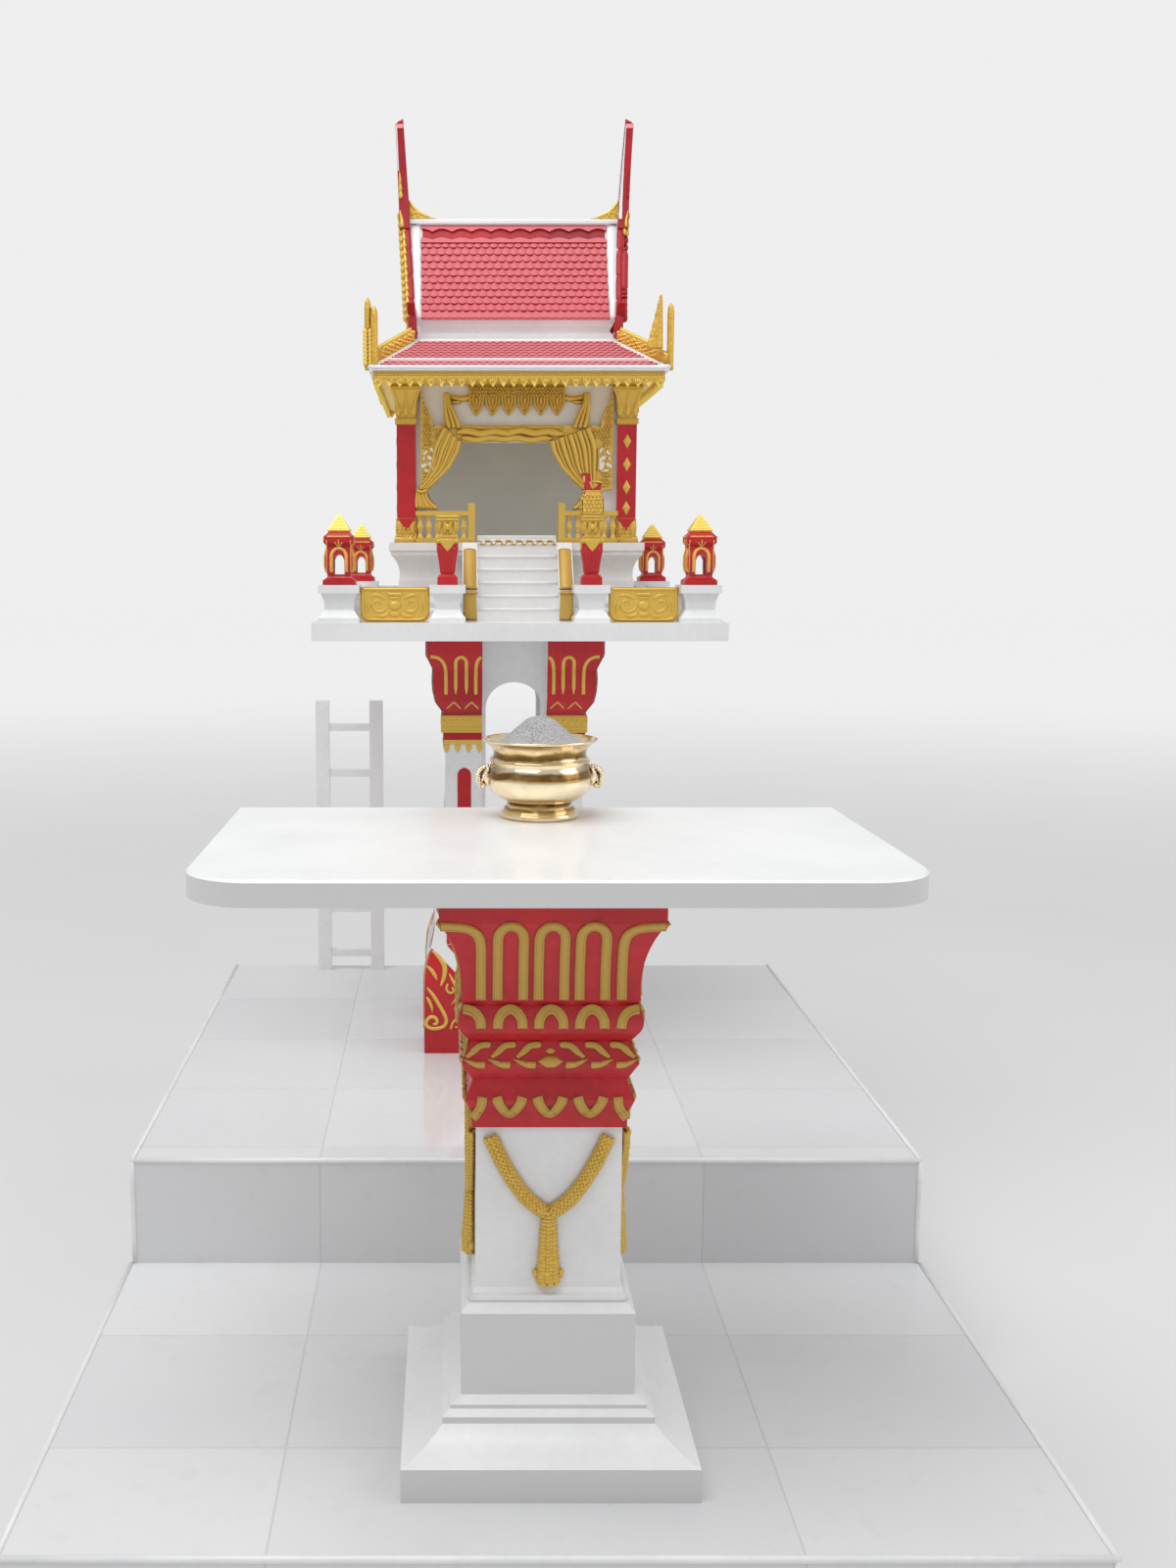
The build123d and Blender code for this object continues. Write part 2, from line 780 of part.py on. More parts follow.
# Walls run from pillar to pillar and are cut round the wider bases and capitals
wall_end_x = pillar_x - PILLAR / 2
wall_end_y = pillar_y - PILLAR / 2
for side, name in ((-1, "left"), (1, "right")):
    with BuildPart() as side_wall:
        block(
            sorted((side * (pillar_x - WALL / 2), side * (pillar_x + WALL / 2))),
            (house_y - wall_end_y, house_y + wall_end_y),
            (podium_top, house_top),
        )
        add(pillar_bases.part, mode=Mode.SUBTRACT)
        add(pillar_capitals.part, mode=Mode.SUBTRACT)
    finish(side_wall, f"wall_{name}")

with BuildPart() as wall_back:
    block(
        (-wall_end_x, wall_end_x),
        (house_y + pillar_y - WALL / 2, house_y + pillar_y + WALL / 2),
        (podium_top, house_top),
    )
    add(pillar_bases.part, mode=Mode.SUBTRACT)
    add(pillar_capitals.part, mode=Mode.SUBTRACT)
finish(wall_back, "wall_back")

with BuildPart() as wall_front:
    block(
        (-wall_end_x, wall_end_x),
        (wall_front_y, wall_front_y + WALL),
        (podium_top, house_top),
    )
    block(
        (DOORWAY_SHIFT - DOORWAY_WIDTH / 2, DOORWAY_SHIFT + DOORWAY_WIDTH / 2),
        (wall_front_y, wall_front_y + WALL),
        (podium_top, podium_top + DOORWAY_HEIGHT),
        mode=Mode.SUBTRACT,
    )
    add(pillar_bases.part, mode=Mode.SUBTRACT)
    add(pillar_capitals.part, mode=Mode.SUBTRACT)
finish(wall_front, "wall_front")

# Carved curtain: a swag across the head of the doorway and a drape drawn to each side.
# The doorway stands a little to the left, and the carved border at the sides doesn't.
curtain_plane = Plane((0, wall_front_y, podium_top), x_dir=(1, 0, 0), z_dir=(0, -1, 0))
curtain_out = wall_end_x - CAPITAL_FLARE - SEAT
swag_height = 29
swag_top = DOORWAY_HEIGHT + swag_height
swag_dip = 3
curtain_top = HOUSE_HEIGHT - FRINGE_DROP
tail_bottom = BALUSTRADE_HEIGHT + 2
tail_reach = wall_end_x + DOORWAY_SHIFT - SEAT
tail_inset = 21
knot_x = 101
gather_inner = 121
gather_outer = 131
flame_inner = 150
flame_outer = curtain_out - 4
with BuildPart() as curtain:
    with BuildSketch(curtain_plane):
        for hand in (-1, 1):
            head = DOORWAY_SHIFT + hand * DOORWAY_HEAD / 2
            tie = DOORWAY_SHIFT + hand * DOORWAY_WIDTH / 2
            tail = tie - hand * tail_inset
            tail_out = DOORWAY_SHIFT + hand * tail_reach
            out = hand * curtain_out
            with BuildLine():
                Line((0, DOORWAY_HEIGHT + swag_dip), (head, DOORWAY_HEIGHT))
                SagittaArc((head, DOORWAY_HEIGHT), (tie, DOORWAY_TIE), -hand * 7)
                SagittaArc((tie, DOORWAY_TIE), (tail, tail_bottom), hand * 2)
                Line((tail, tail_bottom), (tail_out, tail_bottom + 4))
                Line((tail_out, tail_bottom + 4), (tail_out, DOORWAY_TIE))
                Line((tail_out, DOORWAY_TIE), (out, DOORWAY_TIE + 3))
                Line((out, DOORWAY_TIE + 3), (out, curtain_top))
                Line((out, curtain_top), (hand * flame_outer, curtain_top))
                Line((hand * flame_outer, curtain_top), (hand * flame_outer, curtain_top - 12))
                SagittaArc(
                    (hand * flame_outer, curtain_top - 12),
                    (hand * flame_inner, swag_top - 4),
                    -hand * 3,
                )
                SagittaArc(
                    (hand * flame_inner, swag_top - 4),
                    (hand * gather_outer, swag_top - 4),
                    -hand * 4,
                )
                Line((hand * gather_outer, swag_top - 4), (hand * gather_outer, curtain_top))
                Line((hand * gather_outer, curtain_top), (hand * gather_inner, curtain_top))
                SagittaArc((hand * gather_inner, curtain_top), (hand * knot_x, swag_top), hand * 5)
                Line((hand * knot_x, swag_top), (0, swag_top))
                Line((0, swag_top), (0, DOORWAY_HEIGHT + swag_dip))
            make_face()
    extrude(amount=CURTAIN)
finish(curtain, "curtain")

# Hanging border with pointed drops in front of the wall above the swag
drop_count = 6
drop_width = 29
drop_length = 32
border_bottom = curtain_top - 8
border_half = drop_count * drop_width / 2
with BuildPart() as lambrequin:
    with BuildSketch(curtain_plane):
        with Locations((0, (border_bottom + HOUSE_HEIGHT) / 2)):
            Rectangle(2 * border_half, HOUSE_HEIGHT - border_bottom)
        for drop in range(drop_count):
            drop_x = (drop + 0.5) * drop_width - border_half
            drop_start = (drop_x - drop_width / 2, border_bottom)
            drop_tip = (drop_x, border_bottom - drop_length)
            drop_end = (drop_x + drop_width / 2, border_bottom)
            with BuildLine():
                SagittaArc(drop_start, drop_tip, -4)
                SagittaArc(drop_tip, drop_end, -4)
                Line(drop_end, drop_start)
            make_face()
    extrude(amount=CURTAIN / 2)
finish(lambrequin, "lambrequin")


# Cornice with a fringe of leaves, and the hipped lower roof

eave_x = EAVE_WIDTH / 2
eave_y = EAVE_DEPTH / 2
cornice_inset = 8
with BuildPart() as cornice:
    block(
        (-eave_x + cornice_inset, eave_x - cornice_inset),
        (house_y - eave_y + cornice_inset, house_y + eave_y - cornice_inset),
        (house_top, cornice_top),
    )
finish(cornice, "cornice")

fringe_thickness = 6
fringe_out_x = eave_x - cornice_inset
fringe_out_y = eave_y - cornice_inset
leaf_width = 18


def fringe(half_length, distance, plane):
    """A row of pointed leaves that hangs from the cornice along one side."""
    count = round(2 * half_length / leaf_width)
    width = 2 * half_length / count
    with BuildPart() as row:
        with BuildSketch(plane.offset(distance - fringe_thickness)):
            for leaf in range(count):
                left = -half_length + leaf * width
                Polygon(
                    (left, house_top),
                    (left + width / 2, house_top - FRINGE_DROP),
                    (left + width, house_top),
                    align=None,
                )
        extrude(amount=fringe_thickness)
    return row.part


front_plane = Plane((0, house_y, 0), x_dir=(1, 0, 0), z_dir=(0, -1, 0))
side_plane = Plane((0, house_y, 0), x_dir=(0, 1, 0), z_dir=(1, 0, 0))
front_row = fringe(fringe_out_x, fringe_out_y, front_plane)
side_row = fringe(fringe_out_y - fringe_thickness, fringe_out_x, side_plane)
house_axis = Axis((0, house_y, 0), (0, 0, 1))
with BuildPart() as cornice_fringe:
    add(front_row)
    add(front_row.rotate(house_axis, 180))
    add(side_row)
    add(side_row.rotate(house_axis, 180))
finish(cornice_fringe, "cornice_fringe")

hip_top_x = NECK_WIDTH / 2 + 4
hip_top_y = NECK_DEPTH / 2 + 8
skirt_base = (0, house_y, cornice_top)
skirt_height = EAVE_EDGE + SKIRT_RISE
slope_x = [(0, 0, 0), (0, EAVE_EDGE, 0), (hip_top_x - eave_x, skirt_height, 0)]
slope_y = [(0, 0, 0), (0, EAVE_EDGE, 0), (hip_top_y - eave_y, skirt_height, 0)]
with BuildPart() as skirt_roof:
    across = Plane(origin=skirt_base, x_dir=(1, 0, 0), z_dir=(0, -1, 0))
    along = Plane(origin=skirt_base, x_dir=(0, 1, 0), z_dir=(1, 0, 0))
    extrude(section(across, eave_x, slope_x), amount=eave_y, both=True)
    extrude(section(along, eave_y, slope_y), amount=eave_x, both=True, mode=Mode.INTERSECT)
finish(skirt_roof, "skirt_roof")

neck_steps = [
    (0, 0, 0),
    (0, 12, 0),
    (-6, 18, 0),
    (-6, NECK_HEIGHT - 10, 0),
    (0, NECK_HEIGHT - 6, 0),
    (0, NECK_HEIGHT, 0),
]
with BuildPart() as roof_neck:
    add(moulding(NECK_WIDTH / 2, NECK_DEPTH / 2, (0, house_y, skirt_top), neck_steps))
finish(roof_neck, "roof_neck")

# Steep upper roof: two slopes that sag a little, between gable ends that lean outwards
slope_sag = 9
gable_half = GABLE_DEPTH / 2
gable_x = GABLE_WIDTH / 2


def gable_plane(side):
    """The leaning outer face of one gable: x along the depth, y up the slope."""
    lean = Vector(side, 0, 0).rotate(Axis.Y, side * GABLE_LEAN)
    return Plane(origin=(side * gable_x, house_y, neck_top), x_dir=(0, side, 0), z_dir=tuple(lean))


with BuildPart() as upper_roof:
    with BuildSketch(Plane.YZ):
        with BuildLine():
            for hand in (-1, 1):
                foot_y = house_y + hand * gable_half
                SagittaArc((foot_y, neck_top + 6), (house_y, ridge_z), hand * slope_sag)
                Line((foot_y, neck_top), (foot_y, neck_top + 6))
            Line((house_y - gable_half, neck_top), (house_y + gable_half, neck_top))
        make_face()
    extrude(amount=gable_x + GABLE_RISE, both=True)
    for side in (-1, 1):
        split(bisect_by=gable_plane(side), keep=Keep.BOTTOM)
finish(upper_roof, "upper_roof")

# White beam along the ridge, cut to the same lean as the gables
beam_half = 9
ridge_top = ridge_z + RIDGE_BEAM
with BuildPart() as ridge_beam:
    with BuildSketch(Plane.YZ):
        with BuildLine():
            Line((house_y - beam_half, ridge_z), (house_y - beam_half, ridge_z + 5))
            ThreePointArc(
                (house_y - beam_half, ridge_z + 5),
                (house_y, ridge_top),
                (house_y + beam_half, ridge_z + 5),
            )
            Line((house_y + beam_half, ridge_z + 5), (house_y + beam_half, ridge_z))
            Line((house_y + beam_half, ridge_z), (house_y - beam_half, ridge_z))
        make_face()
    extrude(amount=gable_x + GABLE_RISE, both=True)
    for side in (-1, 1):
        split(bisect_by=gable_plane(side), keep=Keep.BOTTOM)
    with BuildSketch(Plane.YZ) as under_beam:
        with BuildLine():
            for hand in (-1, 1):
                foot_y = house_y + hand * gable_half
                SagittaArc((foot_y, neck_top + 6), (house_y, ridge_z), hand * slope_sag)
            Line((house_y - gable_half, neck_top + 6), (house_y + gable_half, neck_top + 6))
        make_face()
    extrude(under_beam.sketch, amount=gable_x + GABLE_RISE, both=True, mode=Mode.SUBTRACT)
finish(ridge_beam, "ridge_beam")

# Gold leaf that rises from the ridge to each gable
leaf_length = 51
leaf_height = 34
leaf_thickness = 8
with BuildPart() as ridge_leaves:
    with BuildSketch(Plane((0, house_y, ridge_top), x_dir=(1, 0, 0), z_dir=(0, -1, 0))):
        leaf_end = gable_x + GABLE_RISE
        leaf_start = gable_x - leaf_length + 14
        with BuildLine():
            Line((leaf_start, 0), (leaf_end, 0))
            Line((leaf_end, 0), (leaf_end, leaf_height))
            Line((leaf_end, leaf_height), (leaf_start + leaf_length, leaf_height))
            SagittaArc((leaf_start + leaf_length, leaf_height), (leaf_start, 0), 6)
        make_face()
    extrude(amount=leaf_thickness / 2, both=True)
    split(bisect_by=gable_plane(1), keep=Keep.BOTTOM)
    mirror(about=Plane.YZ)
finish(ridge_leaves, "ridge_leaves")

# Bargeboards on the leaning gables, with their feet turned up
board_half = gable_half + 8
board_peak = GABLE_RISE + 24
board_depth = 30
foot_hook = 26
foot_length = 22
with BuildPart() as bargeboards:
    for side in (-1, 1):
        with BuildSketch(gable_plane(side)):
            for hand in (-1, 1):
                foot = hand * board_half
                with BuildLine():
                    SagittaArc((foot, 0), (0, board_peak), hand * slope_sag)
                    Line((0, board_peak), (0, board_peak - 2.2 * board_depth))
                    SagittaArc(
                        (0, board_peak - 2.2 * board_depth),
                        (foot - hand * board_depth, 0),
                        -hand * slope_sag,
                    )
                    Line((foot - hand * board_depth, 0), (foot, 0))
                make_face()
                with BuildLine():
                    SagittaArc((foot - hand * 4, 0), (foot + hand * foot_length, foot_hook), hand * 7)
                    SagittaArc((foot + hand * foot_length, foot_hook), (foot - hand * 14, 24), -hand * 5)
                    Line((foot - hand * 14, 24), (foot - hand * 4, 0))
                make_face()
        extrude(amount=BARGEBOARD)
finish(bargeboards, "bargeboards")

# Tall spires in the plane of the gables, each a horn that bends a little to the front
# and thins towards a tip that is cut on a slant
spire_base = 44
spire_tip = 12
spire_bend = 10
spire_root = 20
spire_end = 15
spire_slant = 12
spire_bottom = board_peak - 34
spire_top = board_peak + SPIRE_HEIGHT
right_gable = gable_plane(1)
spire_front = Plane(origin=right_gable.origin, x_dir=right_gable.z_dir, z_dir=-right_gable.x_dir)
with BuildPart() as roof_spires:
    with BuildSketch(right_gable):
        with BuildLine():
            Line((-spire_base / 2, spire_bottom), (spire_base / 2, spire_bottom))
            SagittaArc((spire_base / 2, spire_bottom), (-spire_bend, spire_top), -spire_bend)
            Line((-spire_bend, spire_top), (-spire_bend - spire_tip, spire_top - 8))
            SagittaArc(
                (-spire_bend - spire_tip, spire_top - 8),
                (-spire_base / 2, spire_bottom),
                spire_bend,
            )
        make_face()
    extrude(amount=spire_root)
    with BuildSketch(spire_front):
        Polygon(
            (0, spire_bottom),
            (spire_root, spire_bottom),
            (spire_end, spire_top - spire_slant),
            (0, spire_top),
            align=None,
        )
    extrude(amount=spire_base, both=True, mode=Mode.INTERSECT)
    mirror(about=Plane.YZ)
    add(bargeboards.part, mode=Mode.SUBTRACT)
finish(roof_spires, "roof_spires")

# Gold tail finials: a body that runs down each hip, and two prongs that stand up from
# the eave corner, one along the front or back and one along the side
finial_thickness = 12
finial_body = 24
prong_height = 121
prong_width = 30
prong_tip = 7
prong_drop = 109
prong_seat = 4


def prong(plane, height):
    """One upright prong, its straight back at x = 0 and its belly towards +x."""
    with BuildPart() as blade:
        with BuildSketch(plane):
            with BuildLine():
                Line((0, -prong_seat), (prong_width, -prong_seat))
                Line((prong_width, -prong_seat), (prong_width, 8))
                SagittaArc((prong_width, 8), (prong_tip, height), 6)
                Line((prong_tip, height), (prong_tip / 2, height + 5))
                Line((prong_tip / 2, height + 5), (0, height - 4))
                Line((0, height - 4), (0, -prong_seat))
            make_face()
        extrude(amount=finial_thickness)
    return blade.part


hip_run = ((eave_x - hip_top_x) ** 2 + (eave_y - hip_top_y) ** 2) ** 0.5
hip_plane = Plane(
    origin=(hip_top_x, -hip_top_y, skirt_top),
    x_dir=(eave_x - hip_top_x, hip_top_y - eave_y, 0),
    z_dir=(hip_top_y - eave_y, hip_top_x - eave_x, 0),
)
eave_top = cornice_top + EAVE_EDGE
with BuildPart() as finial:
    with BuildSketch(hip_plane):
        with BuildLine():
            Line((14, -SKIRT_RISE * 14 / hip_run), (hip_run - 20, -SKIRT_RISE * (1 - 20 / hip_run)))
            Line(
                (hip_run - 20, -SKIRT_RISE * (1 - 20 / hip_run)),
                (hip_run - 20, finial_body - SKIRT_RISE * (1 - 20 / hip_run)),
            )
            SagittaArc(
                (hip_run - 20, finial_body - SKIRT_RISE * (1 - 20 / hip_run)),
                (14, finial_body - SKIRT_RISE * 14 / hip_run),
                3,
            )
            Line((14, finial_body - SKIRT_RISE * 14 / hip_run), (14, -SKIRT_RISE * 14 / hip_run))
        make_face()
    extrude(amount=finial_thickness / 2, both=True)
    front_prong = Plane((eave_x, -eave_y, eave_top), x_dir=(-1, 0, 0), z_dir=(0, 1, 0))
    side_prong = Plane((eave_x - 4, -eave_y, eave_top), x_dir=(0, 1, 0), z_dir=(1, 0, 0))
    add(prong(front_prong, prong_height))
    add(prong(side_prong, prong_drop))
with BuildPart() as hip_finials:
    for x_side in (False, True):
        for y_side in (False, True):
            piece = finial.part
            if x_side:
                piece = piece.mirror(Plane.YZ)
            if y_side:
                piece = piece.mirror(Plane.XZ)
            add(piece.moved(Location((0, house_y, 0))))
    add(skirt_roof.part, mode=Mode.SUBTRACT)
finish(hip_finials, "hip_finials")


# Ladder that stands behind the stand: two rails with rungs between them

ladder_half = LADDER_WIDTH / 2
ladder_y = -plinth_front - TILE_EDGE - LADDER_SETBACK
with BuildPart() as ladder_rails:
    for side in (-1, 1):
        block(
            sorted((
                LADDER_MIDDLE + side * ladder_half,
                LADDER_MIDDLE + side * (ladder_half - LADDER_RAIL),
            )),
            (ladder_y - LADDER_THICKNESS, ladder_y),
            (floor_top, floor_top + LADDER_HEIGHT),
        )
finish(ladder_rails, "ladder_rails")

rung_half = ladder_half - LADDER_RAIL
rung_size = 16
rung_pitch = 104
with BuildPart() as ladder_rungs:
    for rung in range(LADDER_RUNGS):
        rung_z = floor_top + 32 + rung * rung_pitch
        block(
            (LADDER_MIDDLE - rung_half, LADDER_MIDDLE + rung_half),
            (ladder_y - (LADDER_THICKNESS + rung_size) / 2, ladder_y - (LADDER_THICKNESS - rung_size) / 2),
            (rung_z, rung_z + rung_size),
        )
finish(ladder_rungs, "ladder_rungs")
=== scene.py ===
# %% [markdown]
# This lesson dresses a small spirit house: a tiled plinth in two steps, an offering table with an incense
# bowl, and a little shrine on a stand. The load-bearing shapes come ready from the CAD model. Here they
# get their paint, tile, brass and gilding, and the raised ornament that a craftsman casts and paints by
# hand.

# %% Load the shapes
import math
import random

import bmesh
import bpy
from mathutils import Matrix, Vector
from mathutils.bvhtree import BVHTree
from mathutils.noise import noise


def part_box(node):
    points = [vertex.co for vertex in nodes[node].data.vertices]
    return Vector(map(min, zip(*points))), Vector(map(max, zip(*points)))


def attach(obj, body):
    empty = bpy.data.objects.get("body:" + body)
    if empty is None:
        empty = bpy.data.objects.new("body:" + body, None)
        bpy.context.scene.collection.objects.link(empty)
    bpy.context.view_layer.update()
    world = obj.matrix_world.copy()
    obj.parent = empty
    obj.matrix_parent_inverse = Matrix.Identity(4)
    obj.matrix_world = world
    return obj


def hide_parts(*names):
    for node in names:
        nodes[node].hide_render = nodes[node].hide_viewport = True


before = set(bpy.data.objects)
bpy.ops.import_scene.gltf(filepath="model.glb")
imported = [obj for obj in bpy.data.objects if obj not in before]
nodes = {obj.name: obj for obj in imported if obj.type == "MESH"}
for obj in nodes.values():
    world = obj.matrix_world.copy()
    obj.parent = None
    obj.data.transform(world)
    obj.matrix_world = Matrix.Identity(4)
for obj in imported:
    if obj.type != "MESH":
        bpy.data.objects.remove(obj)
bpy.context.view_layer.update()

# %% [markdown]
# The picture was taken by someone standing in front of the table and a little to the left of it, at the
# height of the shrine's parapet. A wide phone lens gives the strong lines that run back along the plinth.
# The camera is level from side to side and tips down about eight degrees, and the frame is shifted instead
# of turned, so that the front faces stay square.

# %% Camera
camera_data = bpy.data.cameras.new("camera")
camera_data.lens = 36
camera_data.sensor_width = 36
camera_data.sensor_fit = "AUTO"
camera_data.shift_x = 0.08625
camera_data.clip_end = 60
camera = bpy.data.objects.new("camera", camera_data)
camera.location = (-0.115, -2.584, 1.261)
camera.rotation_euler = (math.radians(82.07), 0, 0)
bpy.context.scene.collection.objects.link(camera)
bpy.context.scene.camera = camera
bpy.context.scene.view_settings.view_transform = "Standard"
print("camera at", tuple(camera.location))

# %% [markdown]
# Shader maths gets long when every multiply is a node made by hand. A small class that wraps one socket
# can overload the operators, so that a pattern is written as plain arithmetic. Plain numbers use Math
# nodes, vectors use Vector Math, and colours go through Mix, because a Math node would turn a colour grey.

# %% Sockets that add up
class Wire:
    """One output socket inside a material, so that 1 - wire or wire * wire adds the node it needs."""

    def __init__(self, shader, socket):
        self.shader = shader
        self.socket = socket

    def maths(self, operation, first, second):
        """The node that fits what is on either side: Mix, Vector Math or Math."""
        kinds = [w.socket.type for w in (first, second) if isinstance(w, Wire)]
        if "RGBA" in kinds:
            return self.shader.blend(first, second, 1.0, operation)
        kind = "VectorMath" if "VECTOR" in kinds else "Math"
        return self.shader.node(kind, {"operation": operation}, {0: first, 1: second})

    def __add__(self, other):
        return self.maths("ADD", self, other)

    def __radd__(self, other):
        return self.maths("ADD", other, self)

    def __sub__(self, other):
        return self.maths("SUBTRACT", self, other)

    def __rsub__(self, other):
        return self.maths("SUBTRACT", other, self)

    def __mul__(self, other):
        return self.maths("MULTIPLY", self, other)

    def __rmul__(self, other):
        return self.maths("MULTIPLY", other, self)

    def __truediv__(self, other):
        return self.maths("DIVIDE", self, other)

    def __rtruediv__(self, other):
        return self.maths("DIVIDE", other, self)


class Shader:
    """A material being built, with one method that adds any node."""

    def __init__(self, name):
        self.material = bpy.data.materials.new(name)
        self.material.use_nodes = True
        self.tree = self.material.node_tree
        self.tree.nodes.clear()

    def node(self, kind, settings=None, sockets=None, output=0):
        """Adds a node, sets it, joins or fills its sockets and returns one of its outputs."""
        made = self.tree.nodes.new("ShaderNode" + kind)
        for key, value in (settings or {}).items():
            if key == "stops":
                while len(made.color_ramp.elements) > 1:
                    made.color_ramp.elements.remove(made.color_ramp.elements[-1])
                for index, (place, colour) in enumerate(value):
                    stop = made.color_ramp.elements[0] if index == 0 else made.color_ramp.elements.new(place)
                    stop.position = place
                    stop.color = colour if isinstance(colour, tuple) else (colour, colour, colour, 1)
            else:
                setattr(made, key, value)
        for key, value in (sockets or {}).items():
            if isinstance(value, Wire):
                self.tree.links.new(value.socket, made.inputs[key])
            else:
                made.inputs[key].default_value = value
        return Wire(self, made.outputs[output]) if made.outputs else None

    def blend(self, first, second, factor, kind="MIX"):
        """Colours mixed by a factor; a plain number or colour on either side is fine."""
        colours = [c if isinstance(c, (Wire, tuple)) else (c, c, c, 1) for c in (first, second)]
        settings = {"data_type": "RGBA", "blend_type": kind, "clamp_factor": True}
        return self.node("Mix", settings, {0: factor, 6: colours[0], 7: colours[1]}, 2)

    def place(self):
        """Where the shaded point is on the object, in metres."""
        return self.node("TexCoord", output="Object")

    def split(self, vector):
        """The three numbers of a vector, each as a wire of its own."""
        return [self.node("SeparateXYZ", None, {"Vector": vector}, axis) for axis in "XYZ"]

    def facing(self):
        """The way the face looks, as three wires."""
        return self.split(self.node("NewGeometry", output="True Normal"))

    def work_out(self, operation, *values):
        """A sum that has no operator of its own, such as ABSOLUTE or FLOOR."""
        return self.node("Math", {"operation": operation}, dict(enumerate(values)))

    def noise(self, scale, detail=2.0):
        """Cloudy noise from 0 to 1, with so many lumps to the metre."""
        return self.node("TexNoise", None, {"Vector": self.place(), "Scale": scale, "Detail": detail})

    def cells(self, scale):
        """The distance from the middle of a random cell, with so many cells to the metre."""
        return self.node("TexVoronoi", None, {"Vector": self.place(), "Scale": scale})

    def open_sky(self, reach):
        """1 on a ridge and less in a hollow, looking as far as the reach."""
        return self.node("AmbientOcclusion", {"samples": 6}, {"Distance": reach}, 1)

    def ramp(self, wire, *stops):
        """A value from 0 to 1 sent through stops of (place, value or colour)."""
        return self.node("ValToRGB", {"stops": stops}, {"Fac": wire})

    def band(self, wire, low, high):
        """A straight ramp from 0 at low to 1 at high."""
        return self.node("MapRange", {"clamp": True}, {"Value": wire, "From Min": low, "From Max": high})

    def bump(self, height, depth):
        """A normal bent by a height, where a height of 1 stands for the depth in metres."""
        return self.node("Bump", None, {"Height": height, "Distance": depth, "Strength": 1.0})

    def finish(self, **sockets):
        """Ends the material with one Principled surface and returns it."""
        names = {key.replace("_", " ").title(): value for key, value in sockets.items()}
        surface = self.node("BsdfPrincipled", None, names)
        self.node("OutputMaterial", None, {"Surface": surface})
        return self.material


print("shader helper ready")

# %% [markdown]
# The shrine is cast cement, painted by hand with household enamel in white and red, and gilded with bronze
# paint. Up close such paint is never flat: a brush leaves soft ridges and the wet edge wanders. So every
# finish gets slow cloudy colour, a finer grain, and a bump that feeds the normal, and the gold is painted
# darker in its hollows as painted shade.

# %% White enamel on trowelled cement
def rgb(red, green, blue):
    """A colour as it is read from a picture, 0 to 255, turned into the linear colour that a shader wants."""
    channels = [c / 255 for c in (red, green, blue)]
    linear = [c / 12.92 if c <= 0.04045 else ((c + 0.055) / 1.055) ** 2.4 for c in channels]
    return (*linear, 1)


def enamel(name, colour, shade, roughness, ridges=0.0004, coat=0.25, upright=None):
    """Brushed enamel: slow drift between two tints, ridges from the brush and a slightly uneven gloss.

    Upright faces can be given a darker tint of their own, as painted shade where less of the light from
    above falls.
    """
    shader = Shader(name)
    drift = shader.noise(7, 3)
    brush = shader.noise(90, 3)
    grain = shader.noise(420, 2)
    tint = shader.blend(colour, shade, shader.band(drift * 0.7 + brush * 0.3, 0.38, 0.68))
    # Painted shade: upright faces take the darker upright tint, and flat faces keep the brushed tint.
    if upright:
        level = shader.band(shader.work_out("ABSOLUTE", shader.facing()[2]), 0.05, 0.4)
        tint = shader.blend(upright, tint, level)
    surface = drift * 0.9 + brush * 0.25 + grain * 0.06
    rough = shader.band(brush, 0.2, 0.9) * 0.14 + roughness
    return shader.finish(base_color=tint, roughness=rough, coat_weight=coat, coat_roughness=0.12,
                         normal=shader.bump(surface, ridges))


white_enamel = enamel("white_enamel", rgb(238, 238, 238), rgb(226, 227, 228), 0.36)
# The table's white is a lit and shaded copy of the white enamel: brighter on its tops as painted light,
# greyer on its upright faces as painted shade.
table_lit_and_shaded_white = enamel("table_lit_and_shaded_white", rgb(246, 247, 247), rgb(236, 237, 238), 0.3, upright=rgb(210, 211, 209))
red_enamel = enamel("red_enamel", rgb(200, 24, 36), rgb(168, 14, 26), 0.34, 0.0005, 0.12)
dark_red = enamel("dark_red", rgb(182, 20, 34), rgb(142, 10, 22), 0.5, 0.0006, 0.0)
print(white_enamel.name, red_enamel.name, dark_red.name)

# %% [markdown]
# The gold is bronze powder in varnish. It shines like satin metal on the ridges, and in the hollows it is
# painted brown and dull as painted shade. Ambient occlusion finds the hollows of every raised ornament
# without painting them by hand.

# %% Gold paint
def gilding(name, bright, deep, shine=0.5, scales=0.0):
    """Bronze paint over a lumpy brushed coat or over scales, with painted shade that dulls and browns it in
    the hollows.
    """
    shader = Shader(name)
    lumps = shader.noise(260, 3)
    if scales:
        lumps = lumps * 0.25 + (1.0 - shader.band(shader.cells(scales), 0.1, 0.8)) * 0.75
    drift = shader.noise(22, 2)
    # Painted shade: ambient occlusion browns and dulls the gold in every hollow, mixed with the lumps and
    # drift of the coat.
    shade_and_lumps = shader.band(shader.open_sky(0.008) * 0.75 + lumps * 0.3 + drift * 0.12, 0.42, 0.92)
    half_shaded = tuple((a + b) / 2 for a, b in zip(bright, deep))
    tint = shader.ramp(shade_and_lumps, (0.0, deep), (0.45, half_shaded), (1.0, bright))
    rough = shader.band(lumps, 0.2, 0.85) * 0.2 + 0.36
    coat = shader.bump(lumps * 0.6 + drift * 0.4, 0.0016 if scales else 0.0007)
    return shader.finish(base_color=tint, metallic=shader.band(shade_and_lumps, -0.3, 1.1) * shine, roughness=rough,
                         normal=coat)


